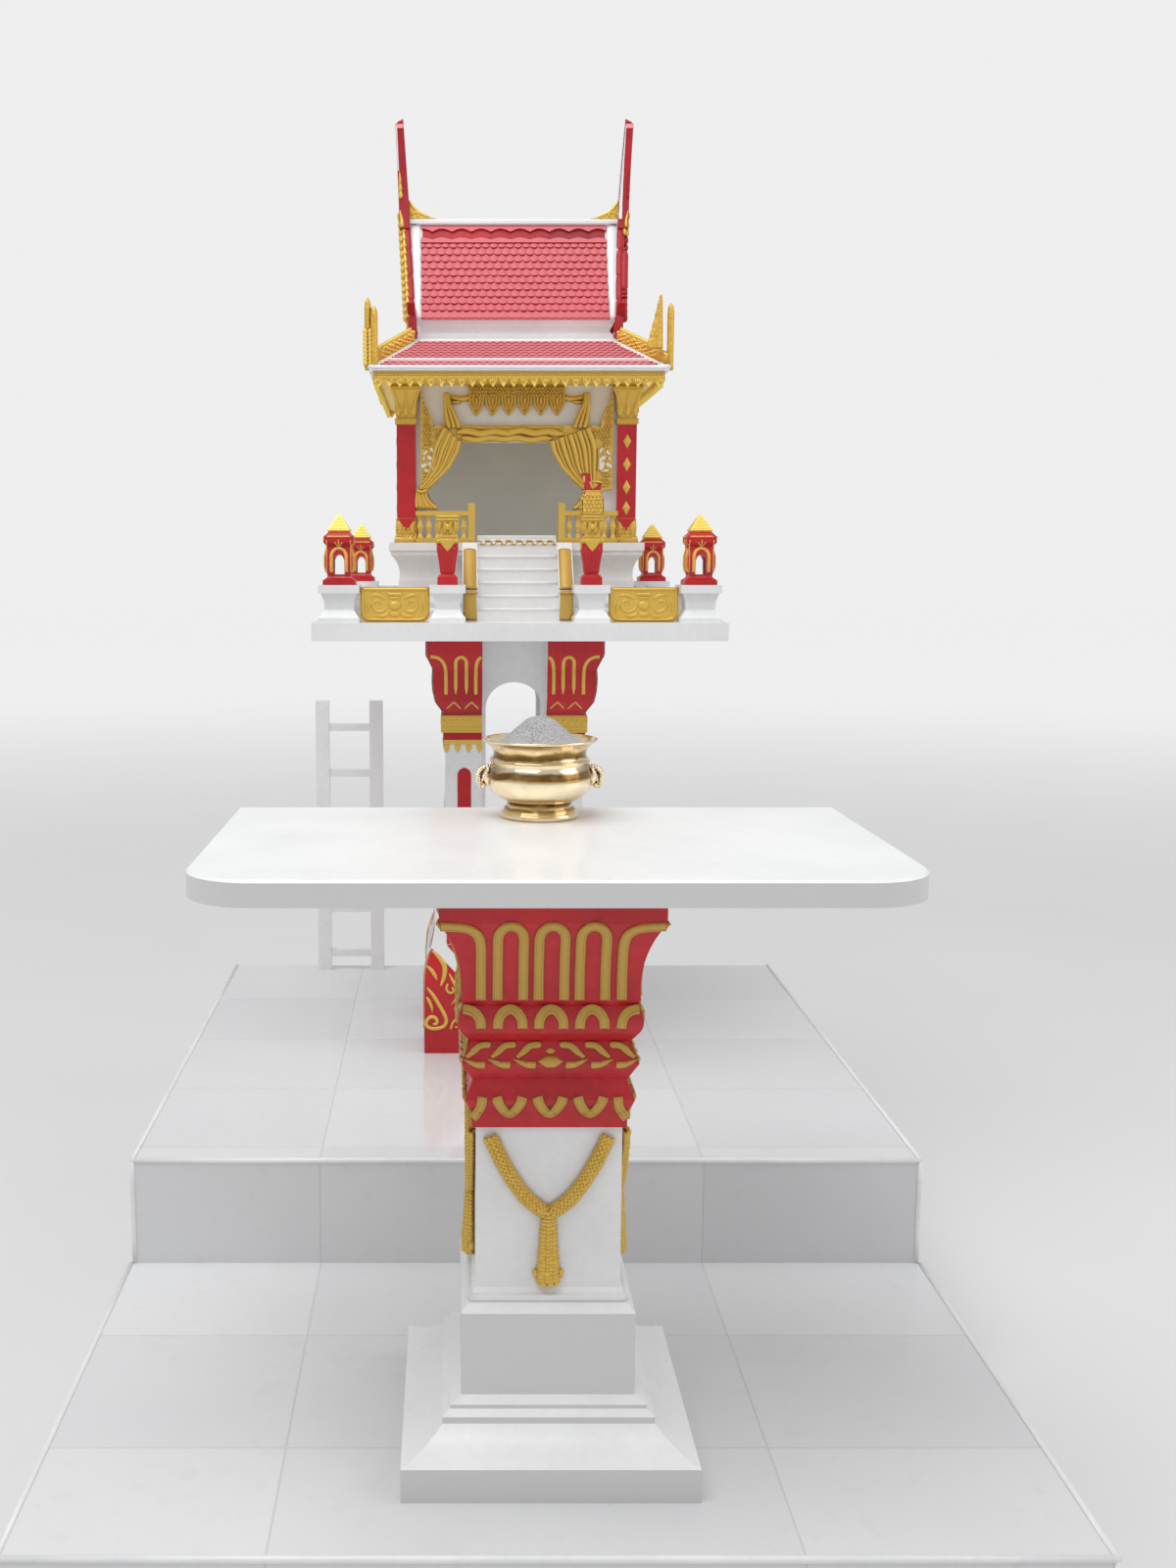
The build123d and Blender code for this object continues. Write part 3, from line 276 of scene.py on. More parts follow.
gold_paint = gilding("gold_paint", rgb(228, 190, 88), rgb(146, 98, 26))
dull_gold = gilding("dull_gold", rgb(200, 162, 76), rgb(116, 80, 26), 0.2)
scaly_gold = gilding("scaly_gold", rgb(226, 182, 78), rgb(128, 80, 18), 0.5, 170.0)
# A dark brown gold, used as painted shade along the inner edges of the drapes.
shadow_edge_gold = gilding("shadow_edge_gold", rgb(150, 112, 52), rgb(92, 62, 22), 0.1)
orange_gold = gilding("orange_gold", rgb(236, 178, 92), rgb(178, 92, 34), 0.35)
# The crests, ridge leaves, lantern caps and cornice get a lighter gold: partly their own fresher gilding,
# partly painted highlight where they catch the most light.
bright_gold = gilding("bright_gold", rgb(248, 214, 104), rgb(190, 134, 30), 0.4)
# The fringe gets a lighter copy of the gold, as painted light that lifts it out of the shade under the
# eaves.
fringe_lightened_gold = gilding("fringe_lightened_gold", rgb(255, 228, 108), rgb(226, 170, 44), 0.4)
print(gold_paint.name, dull_gold.name, scaly_gold.name, bright_gold.name)

# %% [markdown]
# The plinth is laid with glazed tiles, sixty centimetres across and about twenty-nine deep. The joints run
# on one grid from the treads down over the risers. The grid is worked out from the position in metres, so
# it can never slide, and each tile gets its own faint tint from a random value that depends on its row and
# column.

# %% Glazed tiles
TILE_ACROSS = 0.601
TILE_BACK = 0.2885
FIRST_COLUMN = -0.323
FIRST_ROW = 0.1065


def glazed_tiles():
    """White glazed tiles with thin grey joints, on a grid that is fixed in metres."""
    shader = Shader("glazed_tiles")
    across, back, _ = shader.split(shader.place())
    side_facing, _, up_facing = shader.facing()
    column = (across - FIRST_COLUMN) / TILE_ACROSS
    row = (back - FIRST_ROW) / TILE_BACK
    near_column = shader.work_out("PINGPONG", column, 0.5) * TILE_ACROSS
    near_row = shader.work_out("PINGPONG", row, 0.5) * TILE_BACK
    column_joint = 1.0 - shader.band(near_column, 0.0006, 0.0016)
    row_joint = 1.0 - shader.band(near_row, 0.0006, 0.0016)
    flat = shader.band(shader.work_out("ABSOLUTE", up_facing), 0.4, 0.6)
    sideways = shader.band(shader.work_out("ABSOLUTE", side_facing), 0.4, 0.6)
    joint = shader.work_out("MAXIMUM", column_joint * (1.0 - sideways),
                            row_joint * shader.work_out("MAXIMUM", flat, sideways))
    cell = shader.node("CombineXYZ", None,
                       {"X": shader.work_out("FLOOR", column), "Y": shader.work_out("FLOOR", row),
                        "Z": flat})
    chance = shader.node("TexWhiteNoise", None, {"Vector": cell})
    cloud = shader.noise(2.2, 2)
    dust = shader.noise(38, 4)
    glaze = shader.blend(rgb(228, 229, 230), rgb(217, 218, 220),
                         shader.band(chance * 0.5 + cloud, 0.35, 1.05))
    dusty = shader.blend(glaze, rgb(206, 206, 205), shader.band(dust, 0.56, 0.86) * 0.35)
    # Painted shade: the upright faces of the tiles, on the risers, are made 6% darker than the treads.
    upright = shader.blend(dusty, 0.94, 1.0, "MULTIPLY")
    tint = shader.blend(shader.blend(upright, dusty, flat), rgb(190, 191, 194), joint * 0.5)
    rough = joint * 0.5 + shader.band(dust, 0.4, 0.8) * 0.16 + 0.1
    height = cloud * 0.9 - joint * 0.4
    return shader.finish(base_color=tint, roughness=rough, coat_weight=0.3, coat_roughness=0.06,
                         normal=shader.bump(height, 0.0009))


tiles = glazed_tiles()
print(tiles.name)

# %% [markdown]
# The roof tiles are painted a chalky pink, which turns red in their grooves and hollows as painted shade.
# The bowl is polished brass with spun rings, and it holds pale grey ash and sand. The bare wall behind the
# doorway is cement grey.

# %% Roof paint, brass, sand and the plain inside
def roof_pink(name, pale, red):
    """Pink roof paint, turned red by painted shade in the gaps and hollows between the tiles."""
    shader = Shader(name)
    cloud = shader.noise(60, 3)
    # Painted shade: where ambient occlusion finds a gap or hollow, the pink gives way to the red.
    unshaded = shader.band(shader.open_sky(0.006) * 0.85 + cloud * 0.25, 0.4, 0.92)
    tint = shader.blend(red, pale, unshaded)
    return shader.finish(base_color=tint, roughness=cloud * 0.2 + 0.4, normal=shader.bump(cloud, 0.0003))


BOWL_Z = 0.931
BOWL_HEIGHT = 0.105


def polished_brass():
    """Polished brass with painted reflections: pale where it would mirror the white table, brown in bands
    above and on the flanks of the belly.
    """
    shader = Shader("polished_brass")
    across, _, up = shader.split(shader.place())
    rings = shader.work_out("SINE", up * 9000.0)
    dull = shader.noise(60, 4)
    height = (up - BOWL_Z) / BOWL_HEIGHT + (shader.noise(26, 3) - 0.5) * 0.1
    # Painted reflection: the pale, warm and brown bands up the bowl, and the brown flanks of the belly,
    # stand for what the polished brass mirrors.
    pale, warm, brown = rgb(253, 237, 204), rgb(228, 190, 126), rgb(134, 100, 54)
    bands = shader.ramp(height, (0.0, warm), (0.04, pale), (0.09, warm), (0.13, brown), (0.16, pale),
                        (0.2, brown), (0.225, warm), (0.25, pale), (0.49, pale), (0.52, warm),
                        (0.535, brown), (0.6, brown), (0.63, pale), (0.71, pale), (0.72, warm),
                        (0.75, pale), (0.775, brown), (0.84, brown), (0.86, warm), (0.89, pale))
    belly = shader.band(height, 0.5, 0.56) * (1.0 - shader.band(height, 0.68, 0.74))
    flank = shader.band(shader.work_out("ABSOLUTE", across), 0.044, 0.06) * belly
    tint = shader.blend(bands, brown, flank * 0.75)
    tint = shader.blend(tint, warm, shader.band(dull, 0.45, 0.75) * 0.35)
    rough = shader.band(dull, 0.4, 0.8) * 0.1 + 0.08
    return shader.finish(base_color=tint, metallic=1.0, roughness=rough, normal=shader.bump(rings, 0.00001))


def cast_brass():
    """The same brass on the rough cast grips, with painted highlight on the crests and painted shade in the
    hollows.
    """
    shader = Shader("cast_brass")
    lumps = shader.noise(320, 3)
    crest = shader.band(shader.open_sky(0.005) * 0.7 + lumps * 0.5, 0.45, 0.85)
    tint = shader.blend(rgb(146, 106, 58), rgb(255, 238, 204), crest)
    return shader.finish(base_color=tint, metallic=1.0, roughness=0.2, normal=shader.bump(lumps, 0.0008))


def censer_sand():
    """Pale sand and ash, with light and dark grains."""
    shader = Shader("censer_sand")
    grains = shader.cells(700.0)
    cloud = shader.noise(120, 3)
    tint = shader.ramp(grains, (0.0, rgb(206, 205, 206)), (0.5, rgb(182, 181, 182)),
                       (0.8, rgb(118, 116, 114)))
    height = cloud * 0.8 + grains * 0.4
    return shader.finish(base_color=tint, roughness=0.95, normal=shader.bump(height, 0.0016))


pink = roof_pink("roof_pink", rgb(209, 102, 111), rgb(154, 28, 42))
pale_pink = roof_pink("pale_pink", rgb(255, 172, 180), rgb(236, 112, 122))
brass = polished_brass()
grip_brass = cast_brass()
sand = censer_sand()


def dim_inside():
    """Grey cement wash for the room, with a faint glow that stands for daylight coming in by the doorway."""
    shader = Shader("dim_inside")
    up = shader.split(shader.place())[2]
    cloud = shader.noise(9, 2)
    tint = shader.blend(rgb(170, 167, 160), rgb(156, 153, 146), shader.band(cloud, 0.35, 0.7))
    glow = shader.blend(rgb(150, 148, 141), rgb(118, 116, 110), shader.band(up, 1.4, 1.56))
    return shader.finish(base_color=tint, roughness=0.8, emission_color=glow, emission_strength=0.56)


inside_wash = dim_inside()
print(pink.name, brass.name, sand.name, inside_wash.name)

# %% [markdown]
# The studio is plain: a pale floor that keeps the shadow and fades into a pale world, and two large soft
# lamps. The floor gains a faint glow with distance, so that there is no line where it ends. The daylight
# in the picture comes from high in front, so the big lamp hangs there. The lamps are kept at a level where
# white enamel comes out as white as it is written, and not brighter.

# %% Floor, world and lamps
def pale_floor():
    """A pale floor: what the camera sees is near white, and it still takes the object's shadow."""
    shader = Shader("pale_floor")
    cloud = shader.noise(1.5, 2)
    tint = shader.blend(rgb(226, 226, 226), rgb(221, 221, 222), cloud)
    away = shader.node("VectorMath", {"operation": "LENGTH"}, {0: shader.place()}, 1)
    fade = shader.node("MapRange", {"interpolation_type": "SMOOTHERSTEP"},
                       {"Value": away, "From Min": -2.0, "From Max": 15.0})
    haze = shader.blend((0, 0, 0, 1), (0.43, 0.43, 0.43, 1), fade)
    return shader.finish(base_color=tint, roughness=0.9, emission_color=haze, emission_strength=1.0)


floor_mesh = bpy.data.meshes.new("floor")
floor_mesh.from_pydata([(-30, -12, 0), (30, -12, 0), (30, 45, 0), (-30, 45, 0)], [], [(0, 1, 2, 3)])
floor = bpy.data.objects.new("floor", floor_mesh)
floor.location.z = -0.001
floor_mesh.materials.append(pale_floor())
bpy.context.scene.collection.objects.link(floor)

world = bpy.data.worlds.new("studio")
world.use_nodes = True
bpy.context.scene.world = world
sky = world.node_tree
sky.nodes.clear()
seen = sky.nodes.new("ShaderNodeLightPath")
choose = sky.nodes.new("ShaderNodeMixShader")
sky_out = sky.nodes.new("ShaderNodeOutputWorld")
sky.links.new(seen.outputs["Is Camera Ray"], choose.inputs[0])
sky.links.new(choose.outputs[0], sky_out.inputs["Surface"])
SKY_LIGHT = ((0.93, 0.935, 0.94, 1), 0.6)
SKY_AS_SEEN = ((0.86, 0.86, 0.86, 1), 1.0)
for socket, (colour, strength) in ((1, SKY_LIGHT), (2, SKY_AS_SEEN)):
    background = sky.nodes.new("ShaderNodeBackground")
    background.inputs["Color"].default_value = colour
    background.inputs["Strength"].default_value = strength
    sky.links.new(background.outputs[0], choose.inputs[socket])


def soft_lamp(name, place, target, size, watts):
    """A large square lamp that looks at a point."""
    lamp_data = bpy.data.lights.new(name, "AREA")
    lamp_data.shape = "SQUARE"
    lamp_data.size = size
    lamp_data.energy = watts
    lamp = bpy.data.objects.new(name, lamp_data)
    lamp.location = place
    lamp.rotation_euler = (Vector(target) - Vector(place)).to_track_quat("-Z", "Y").to_euler()
    bpy.context.scene.collection.objects.link(lamp)
    return lamp


soft_lamp("high_lamp", (-1.3, -1.5, 5.6), (0, 0.1, 0.9), 3.8, 165)
soft_lamp("side_lamp", (3.4, -1.2, 3.0), (0, 0.2, 1.2), 2.6, 30)

# %% [markdown]
# Every shape that comes ready keeps its mesh and only gets a finish. A table of names says which paint
# goes where, and anything that is not in the table is white enamel.

# %% Paint the ready shapes
finish_of = {
    tiles: ["lower_step", "upper_step"],
    table_lit_and_shaded_white: ["table_slab", "table_base"],
    red_enamel: ["table_capital", "lantern_posts", "newel_vases", "newel_crown", "pillar_shafts"],
    dark_red: ["bargeboards", "roof_spires"],
    gold_paint: ["table_garlands", "leg_bands", "relief_panels", "newel_capitals", "pillar_bases",
                 "pillar_capitals", "balustrades", "curtain", "lambrequin"],
    bright_gold: ["lantern_caps", "cornice", "ridge_leaves"],
    fringe_lightened_gold: ["cornice_fringe"],
    scaly_gold: ["hip_finials"],
    brass: ["incense_bowl", "bowl_handles"],
    sand: ["bowl_sand"],
}
for node in nodes.values():
    node.data.materials.clear()
    node.data.materials.append(white_enamel)
for finish, names in finish_of.items():
    for name in names:
        nodes[name].data.materials[0] = finish
print("painted", len(nodes), "shapes")

# %% [markdown]
# Almost all the gold on this shrine is a strip or a leaf that stands a few millimetres proud of the red.
# One tool lays them all: it takes a line drawn flat on a face, finds the moulded surface under every point
# with a ray, and sweeps a half-round strip along it. So an ornament bends over a roll or down a bell by
# itself.

# %% A face that ornament is laid on
class Face:
    """One upright side of some ready shapes, seen square on: u runs to the right and z up, in metres."""

    trees = {}

    def __init__(self, names, middle, turn, reach=0.45):
        names = (names,) if isinstance(names, str) else tuple(names)
        if names not in Face.trees:
            joined = bmesh.new()
            for name in names:
                joined.from_mesh(nodes[name].data)
            Face.trees[names] = BVHTree.FromBMesh(joined)
            joined.free()
        self.tree = Face.trees[names]
        spin = Matrix.Rotation(math.radians(turn), 3, "Z")
        self.out = spin @ Vector((0, -1, 0))
        self.right = spin @ Vector((1, 0, 0))
        self.middle = Vector((middle[0], middle[1], 0))
        self.reach = reach

    def find(self, u, z):
        """The surface point under (u, z) and the way it faces, or None beside the shape."""
        start = self.middle + self.right * u + Vector((0, 0, z)) + self.out * self.reach
        place, normal, _, _ = self.tree.ray_cast(start, -self.out, self.reach * 1.2)
        return None if place is None else (place, normal)

    def lay(self, line):
        """A drawn line laid on the surface as (point, normal) pairs, without points beside the shape."""
        found = [self.find(u, z) for u, z in line]
        return [pair for pair in found if pair]


ALL_SIDES = (0, 90, 180, 270)
BOTH_HANDS = (False, True)


def part_way(t, p, q, r, s):
    """A number a part of the way from q to r, on the curve that also heads for p and s."""
    bend = (2 * p - 5 * q + 4 * r - s) * t * t
    return 0.5 * (2 * q + (r - p) * t + bend + (3 * q - p - 3 * r + s) * t ** 3)


def flow(points, steps=5):
    """A smooth line through a few drawn points."""
    ends = [points[0]] + list(points) + [points[-1]]
    line = []
    for a, b, c, d in zip(ends, ends[1:], ends[2:], ends[3:]):
        for step in range(steps):
            t = step / steps
            line.append(tuple(part_way(t, *four) for four in zip(a, b, c, d)))
    line.append(tuple(points[-1]))
    return line


def fine(line, gap=0.002):
    """The same line with a point at least every gap, so that it can bend with the surface."""
    dense = [line[0]]
    for a, b in zip(line, line[1:]):
        count = max(1, math.ceil(math.dist(a, b) / gap))
        dense += [(a[0] + (b[0] - a[0]) * i / count, a[1] + (b[1] - a[1]) * i / count)
                  for i in range(1, count + 1)]
    return dense


def slide(line, u=0.0, mirror=False):
    """A drawn line turned over left for right and moved sideways."""
    return [((-a if mirror else a) + u, b) for a, b in line]


print("faces can be laid on")

# %% Strips, leaves and beads
def even(_):
    """The same width all along a strip."""
    return 1.0


def blunt(t):
    """A strip with rounded ends."""
    return min(1.0, 0.45 + 7 * min(t, 1 - t))


def lance(t):
    """A leaf that is widest low down and ends in a point."""
    return max(0.05, math.sin(math.pi * min(1.0, t * 0.96 + 0.04)) ** 0.7 * (1.25 - 0.5 * t))


def flame(t):
    """A tongue that starts full and thins out to its tip."""
    return max(0.06, (1 - t) ** 0.6 * min(1.0, 0.5 + 5 * t))


def close_rings(made, rings, sides):
    """Faces between rings of points, on so many of their sides, and a cap on either end."""
    count = len(rings[0])
    for first, second in zip(rings, rings[1:]):
        for side in range(sides):
            after = (side + 1) % count
            made.faces.new((first[side], first[after], second[after], second[side]))
    made.faces.new(rings[0][::-1])
    made.faces.new(rings[-1])


def strip(made, laid, width, height, swell=even, sides=5, sink=0.0005, square=1.0):
    """Sweeps a strip along laid points: half-round, or flat-topped where square is well below 1."""
    if len(laid) < 2:
        return
    rings = []
    last = len(laid) - 1
    for index, (place, normal) in enumerate(laid):
        ahead = laid[min(index + 1, last)][0] - laid[max(index - 1, 0)][0]
        if ahead.length < 1e-7:
            continue
        across = ahead.normalized().cross(normal)
        if across.length < 1e-4:
            continue
        across.normalize()
        rise = across.cross(ahead.normalized())
        grow = swell(index / last)
        ring = []
        for side in range(sides + 1):
            angle = math.pi * side / sides
            aside = math.copysign(abs(math.cos(angle)) ** square, math.cos(angle))
            tall = max(0.0, math.sin(angle)) ** square
            out = across * (aside * width / 2 * grow)
            up = rise * (tall * height * min(1.0, 0.35 + 0.65 * grow) - sink)
            ring.append(made.verts.new(place + out + up))
        rings.append(ring)
    if rings:
        close_rings(made, rings, sides)


def bar(made, face, start, end, width, height, swell=even, sides=5, gap=0.002, square=1.0):
    """A strip along one straight line of a face."""
    strip(made, face.lay(fine([start, end], gap)), width, height, swell, sides, square=square)


def curve(made, face, points, steps, width, height, swell=even, sides=5, mirror=False):
    """A strip along a smooth line through a few points of a face."""
    strip(made, face.lay(slide(flow(points, steps), mirror=mirror)), width, height, swell, sides)


def bead(made, place, radius, stretch=(1, 1, 1), levels=1):
    """A rounded drop of paste at a point."""
    shape = Matrix.Translation(place) @ Matrix.Diagonal((*stretch, 1))
    bmesh.ops.create_icosphere(made, subdivisions=levels, radius=radius, matrix=shape)


def piece(name, made, finish, replaces=(), smooth=True):
    """Turns a finished mesh into a piece of the object, painted and tied to it."""
    finishes = finish if isinstance(finish, tuple) else (finish,)
    mesh = bpy.data.meshes.new(name)
    bmesh.ops.recalc_face_normals(made, faces=made.faces)
    made.to_mesh(mesh)
    made.free()
    for polygon in mesh.polygons:
        polygon.use_smooth = polygon.use_smooth if smooth is None else smooth
    for paint in finishes:
        mesh.materials.append(paint)
    new = bpy.data.objects.new(name, mesh)
    bpy.context.scene.collection.objects.link(new)
    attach(new, "root")
    if replaces:
        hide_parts(*replaces)
    print(name, len(mesh.polygons), "faces")


print("strips and beads ready")

# %% [markdown]
# The table's red capital carries four rows of gold, the same on all four sides. From the top: tall hairpin
# petals on the bell, short arches on the round roll, leaves that part from a middle diamond along the
# sharp roll, and a row of open V shapes at the bottom. At each corner a half petal meets the half on the
# next side.

# %% Gold on the table's capital
TABLE_MIDDLE = (0.0, -0.7)
PETAL_STEP = 0.0478
INLAY_HEIGHT = 0.0034


def hairpin(half, bottom, top):
    """A tall arch with straight legs, from the foot of one leg to the foot of the other."""
    spring = top - half * 1.15
    line = [(-half, bottom), (-half, (bottom + spring) / 2), (-half, spring)]
    for step in range(1, 8):
        angle = math.pi * (1 - step / 8)
        line.append((math.cos(angle) * half, spring + math.sin(angle) * half * 1.15))
    return line + [(half, spring), (half, (bottom + spring) / 2), (half, bottom)]


def inlay(face, line, width, mirror=False, u=0.0):
    """One flat-topped strip of the capital with a narrow raised lip along each edge."""
    laid = face.lay(fine(slide(line, u, mirror=mirror)))
    last = len(laid) - 1
    strip(capital_gold, laid, width, INLAY_HEIGHT, even, 9, square=0.34)
    for edge in (-1, 1):
        lip = []
        for index, (point, normal) in enumerate(laid):
            ahead = laid[min(index + 1, last)][0] - laid[max(index - 1, 0)][0]
            across = ahead.normalized().cross(normal).normalized()
            lip.append((point + across * edge * (width / 2 - 0.0017) + normal * (INLAY_HEIGHT - 0.0006),
                        normal))
        strip(capital_gold, lip, 0.0022, 0.0014, even, 4)


capital_gold = bmesh.new()
for turn in ALL_SIDES:
    side = Face("table_capital", TABLE_MIDDLE, turn)
    for step in (-1, 0, 1):
        u = step * PETAL_STEP
        inlay(side, hairpin(0.015, 0.759, 0.853), 0.0122, u=u)
        inlay(side, flow([(-0.0144, 0.7262), (-0.0136, 0.736), (-0.008, 0.7442), (0, 0.7472),
                          (0.008, 0.7442), (0.0136, 0.736), (0.0144, 0.7262)]), 0.012, u=u)
        inlay(side, flow([(-0.0152, 0.6388), (-0.0122, 0.6305), (-0.0064, 0.6212), (0, 0.6174),
                          (0.0064, 0.6212), (0.0122, 0.6305), (0.0152, 0.6388)]), 0.0122, u=u)
    for mirror in BOTH_HANDS:
        inlay(side, flow([(0.0822, 0.759), (0.0822, 0.8), (0.0826, 0.826), (0.086, 0.84), (0.095, 0.848),
                          (0.108, 0.851), (0.124, 0.852), (0.13, 0.852)], 8), 0.0122, mirror=mirror)
        inlay(side, flow([(0.0818, 0.7262), (0.0832, 0.736), (0.089, 0.7435), (0.097, 0.7466),
                          (0.106, 0.7472)]),
              0.012, mirror=mirror)
        inlay(side, flow([(0.08, 0.6388), (0.0818, 0.627), (0.0866, 0.617), (0.0915, 0.611)]), 0.0116,
              mirror=mirror)
        for vertex in (0.0437, 0.0735, 0.103):
            upper = flow([(vertex - 0.004, 0.688), (vertex - 0.011, 0.693), (vertex - 0.0185, 0.6995),
                          (vertex - 0.0255, 0.7015), (vertex - 0.033, 0.7014)])
            lower = flow([(vertex, 0.6858), (vertex - 0.009, 0.6825), (vertex - 0.017, 0.6802),
                          (vertex - 0.026, 0.6798)])
            strip(capital_gold, side.lay(fine(slide(upper, mirror=mirror))), 0.0082, 0.0036,
                  lambda t: min(1.0, 0.5 + 1.5 * t, 0.5 + 6 * (1 - t)), 7, square=0.5)
            strip(capital_gold, side.lay(fine(slide(lower, mirror=mirror))), 0.0086, 0.0036,
                  lambda t: min(1.0, 0.12 + 1.3 * t), 7, square=0.5)
    for half, z, width in ((0.0155, 0.6836, 0.0135), (0.0064, 0.695, 0.0086)):
        bar(capital_gold, side, (-half, z), (half, z), width, 0.0042,
            lambda t: min(1.0, max(0.05, 1.5 - abs(3 * t - 1.5))), gap=0.001)
piece("capital_gold", capital_gold, dull_gold)

# %% [markdown]
# A garland of small flowers hangs on each side of the white shaft, cast in paste and gilded. It is built
# bead by bead: rings of little petals turned a bit from one to the next along a hanging line, then a
# tassel that spreads out and ends in three buds.

# %% Garlands on the shaft
random.seed(4)


def flower_chain(made, places, out, radius):
    """Flat little flowers set close along a line, each one turned a little from the one before."""
    for index, place in enumerate(places):
        ahead = (places[min(index + 1, len(places) - 1)] - places[max(index - 1, 0)]).normalized()
        across = ahead.cross(out).normalized()
        for petal in range(5):
            angle = math.pi * (petal / 4) + (0.2 if index % 2 else -0.12)
            offset = across * math.cos(angle) * radius * 0.72 + out * max(0.0,
                                                                          math.sin(angle)) * radius * 0.62
            size = radius * random.uniform(0.36, 0.46)
            bead(made, place + offset, size)


garlands = bmesh.new()
for turn in ALL_SIDES:
    side = Face("table_shaft", TABLE_MIDDLE, turn)
    for mirror in BOTH_HANDS:
        arm = flow([(0.07, 0.586), (0.057, 0.558), (0.043, 0.533), (0.025, 0.509), (0.005, 0.493)], 5)
        laid = side.lay(fine(slide(arm, mirror=mirror), 0.0042))
        flower_chain(garlands, [p + n * 0.004 for p, n in laid], side.out, 0.0088)
        strip(garlands, laid, 0.012, 0.0062, even, 6)
    for index in range(19):
        t = index / 18
        place, normal = side.find(0, 0.493 - 0.083 * t)
        place = place + normal * 0.004
        flower_chain(garlands, [place, place - Vector((0, 0, 0.004))], side.out, 0.0086 + 0.0052 * t)
    tassel = side.lay(fine([(0, 0.495), (0, 0.411)]))
    strip(garlands, tassel, 0.015, 0.0066, lambda t: 0.8 + 0.75 * t, 6)
    for u, z in ((-0.014, 0.415), (0.014, 0.415), (0, 0.411)):
        place, normal = side.find(u, z)
        bead(garlands, place + normal * 0.003, 0.0052, (1, 1, 1.1), levels=2)
piece("shaft_garlands", garlands, gold_paint, replaces=("table_garlands",))

# %% [markdown]
# The plinth has white plastic edge trims: a rounded bead along the front and sides of both treads and down
# the front corners. The table's base has one more small ledge in its upper bevel.

# %% Edge trims and the ledge on the table's base
trims = bmesh.new()


def edge_trim(ends, out):
    """A rounded bead over a straight edge, set a little into the corner that it covers."""
    out = Vector(out).normalized()
    start, end = (Vector(place) - out * 0.0032 for place in ends)
    strip(trims, [(start.lerp(end, i / 4), out) for i in range(5)], 0.009, 0.0052, even, 7)


for name, front, back in (("lower_step", -0.98, -0.236), ("upper_step", -0.235, 0.973)):
    low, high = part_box(name)
    edge_trim([(low[0], front, high[2]), (high[0], front, high[2])], (0, -1, 1))
    for sign in (-1, 1):
        edge_trim([(sign * high[0], front, high[2]), (sign * high[0], back, high[2])], (sign, 0, 1))
        edge_trim([(sign * high[0], front, low[2] + 0.001), (sign * high[0], front, high[2])], (sign, -1, 0))
for turn in ALL_SIDES:
    base = Face("table_base", TABLE_MIDDLE, turn)
    bar(trims, base, (-0.0945, 0.387), (0.0945, 0.387), 0.009, 0.0042, even, 4, gap=0.02)
piece("edge_trims", trims, white_enamel)

# %% [markdown]
# The stand repeats the table's ornament at a smaller size. Each leg face has a red top with hairpin petals
# and two little gable marks, then a carved gold band, a thin red band, gold drops, a red lancet on the
# white shaft, and a red foot with scrolling flame leaves that climb towards the outer corner. The painted
# areas are thin skins laid just over the white leg, so that their edges stay as crisp as masked paint.

# %% Painted areas that follow a leg
STAND_MIDDLE = (0.0, 0.475)
LEG_INNER = 0.0603
EDGE_STEP = 0.0004
LANCET_TOP = 0.884
LANCET_END = 0.014
FOOT_BAND = 0.3405
FOOT_CORNER = 0.169
FOOT_TOP = 0.3868


def skin(made, face, rows, lift=0.0006, columns=3):
    """A thin skin between a left and a right edge given at several heights, laid over the surface."""
    grid = []
    for z, left, right in rows:
        row = []
        for column in range(columns + 1):
            found = face.find(left + (right - left) * column / columns, z)
            if found:
                row.append(made.verts.new(found[0] + found[1] * lift))
        grid.append(row)
    for below, above in zip(grid, grid[1:]):
        if len(below) == len(above) == columns + 1:
            for column in range(columns):
                made.faces.new((below[column], below[column + 1], above[column + 1], above[column]))


def heights(low, high, gap=0.006):
    """Even heights from low to high, about a gap apart."""
    count = max(1, round((high - low) / gap))
    return [low + (high - low) * i / count for i in range(count + 1)]


def outer_edge(face, z):
    """How far out the leg reaches at a height, less a hair, found in small steps from outside."""
    u = 0.175
    while u > 0.1 and not face.find(u, z):
        u -= EDGE_STEP
    return u - EDGE_STEP


def to_corner(face, low, high, gap=0.006):
    """Rows of skin from the inner side of a leg to its outer edge."""
    return [(z, LEG_INNER, outer_edge(face, z)) for z in heights(low, high, gap)]


def lancet(z):
    """The left and right edge of the painted lancet at a height."""
    if z > LANCET_TOP - LANCET_END:
        half = 0.0128 * math.sqrt(max(0.0, 1 - ((z - LANCET_TOP + LANCET_END) / LANCET_END) ** 2))
        return 0.0932 - half, 0.0932 + half
    return 0.0804, 0.106 + 0.0205 * min(1.0, max(0.0, (0.66 - z) / 0.06))


